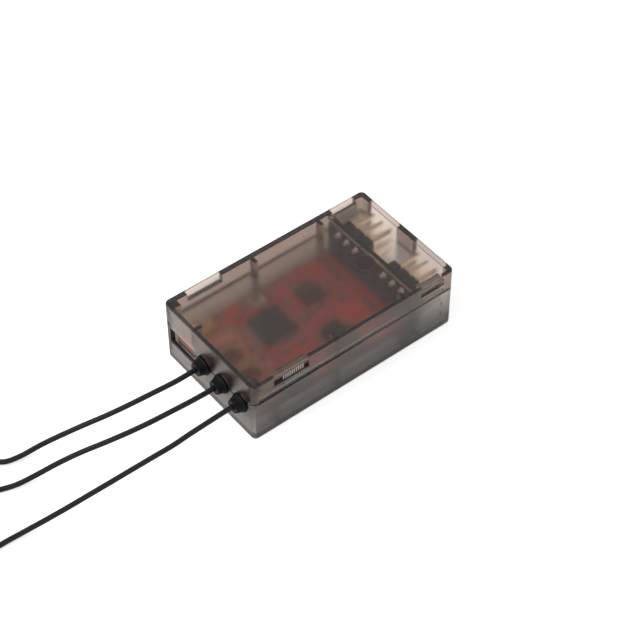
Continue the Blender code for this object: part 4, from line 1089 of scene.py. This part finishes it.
def row_numbers():
    """The digits as flat meshes on the near side wall."""
    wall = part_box("case_bottom")[0][1]
    builder = bmesh.new()
    for label, height in ROW_NUMBERS:
        curve = bpy.data.curves.new("number", "FONT")
        curve.body = label
        curve.size = NUMBER_SIZE
        curve.extrude = PAINT_DEPTH
        curve.align_x, curve.align_y = "CENTER", "CENTER"
        holder = bpy.data.objects.new("number", curve)
        bpy.context.scene.collection.objects.link(holder)
        bpy.context.view_layer.update()
        mesh = bpy.data.meshes.new_from_object(holder.evaluated_get(bpy.context.evaluated_depsgraph_get()))
        bpy.data.objects.remove(holder, do_unlink=True)
        bpy.data.curves.remove(curve)
        mesh.materials.clear()
        mesh.transform(Matrix.Translation((NUMBER_X, wall, height)) @ Matrix.Rotation(math.pi / 2, 4, "X"))
        builder.from_mesh(mesh)
        bpy.data.meshes.remove(mesh)
    return add_piece("row_numbers", builder, smooth=False)


PAINT = plain_finish("dark paint", {}, bump=0.000003, colour=(0.02, 0.018, 0.018), gloss=(0.4, 0.6), cloud=0.5,
                     cloud_scale=2500.0, grain_scale=6000.0)
settle(row_numbers(), "black_nylon", PAINT)
print("numbers:", "".join(label for label, _ in ROW_NUMBERS))

# %% [markdown]
# ## Floor and light
#
# The photograph has a white ground with hardly a shadow. The floor is a pale diffuse sheet that adds a little
# light of its own where the camera, a reflection or a look through the plastic sees it, so that it reads as white
# while it still takes the object's shadow. Broad soft lamps and an even sky suit clear plastic, because
# every ray that goes through a wall then finds some light.

# %% Floor
FLOOR_SIZE = 4.0
FLOOR_DROP = 0.00005
FLOOR_GLOW = 0.58


def seen_ray(tree):
    """One where the ray comes from the camera, a gloss or a look through glass."""
    path = tree.nodes.new("ShaderNodeLightPath")
    rays = [path.outputs[name] for name in ("Is Camera Ray", "Is Glossy Ray", "Is Transmission Ray")]
    return math_node(tree, "MAXIMUM", *rays)


def make_floor():
    """A wide pale sheet just under the object, which glows a little where it is seen."""
    builder = bmesh.new()
    bmesh.ops.create_grid(builder, x_segments=1, y_segments=1, size=FLOOR_SIZE / 2)
    floor = add_piece("floor", builder, smooth=False)
    floor.location.z = -FLOOR_DROP
    material, tree, shader = new_material("floor", {
        "Base Color": (0.86, 0.86, 0.86), "Roughness": 0.9, "Specular IOR Level": 0.1,
        "Emission Color": (1.0, 1.0, 1.0)})
    glow = math_node(tree, "MULTIPLY", seen_ray(tree), FLOOR_GLOW)
    tree.links.new(glow, shader.inputs["Emission Strength"])
    floor.data.materials.append(material)


make_floor()
print("floor:", FLOOR_SIZE, "m wide")


# %% Sky and lamps
DIM_SKY = 0.55
LAMPS = (
    ("key lamp", (-0.55, 0.15, 0.55), (0.5, 0.5), 3.0),
    ("low lamp", (-0.6, 0.1, 0.14), (0.5, 0.24), 2.0),
)


def make_sky():
    """An even white sky, dimmer as a light than as a ground."""
    world = bpy.data.worlds.new("studio")
    bpy.context.scene.world = world
    world.use_nodes = True
    tree = world.node_tree
    background = tree.nodes["Background"]
    background.inputs["Color"].default_value = (1.0, 1.0, 1.0, 1.0)
    tree.links.new(remap(tree, seen_ray(tree), DIM_SKY, 1.0), background.inputs["Strength"])


def make_lamp(name, place, size, power):
    """A soft oblong lamp that points at the object."""
    data = bpy.data.lights.new(name, "AREA")
    data.shape = "RECTANGLE"
    data.size, data.size_y = size
    data.energy = power
    lamp = bpy.data.objects.new(name, data)
    bpy.context.scene.collection.objects.link(lamp)
    lamp.location = place
    lamp.rotation_euler = (CAMERA_AIM - Vector(place)).to_track_quat("-Z", "Y").to_euler()


make_sky()
for lamp in LAMPS:
    make_lamp(*lamp)
print("lamps:", len(LAMPS))

bpy.context.scene.view_settings.view_transform = "Standard"
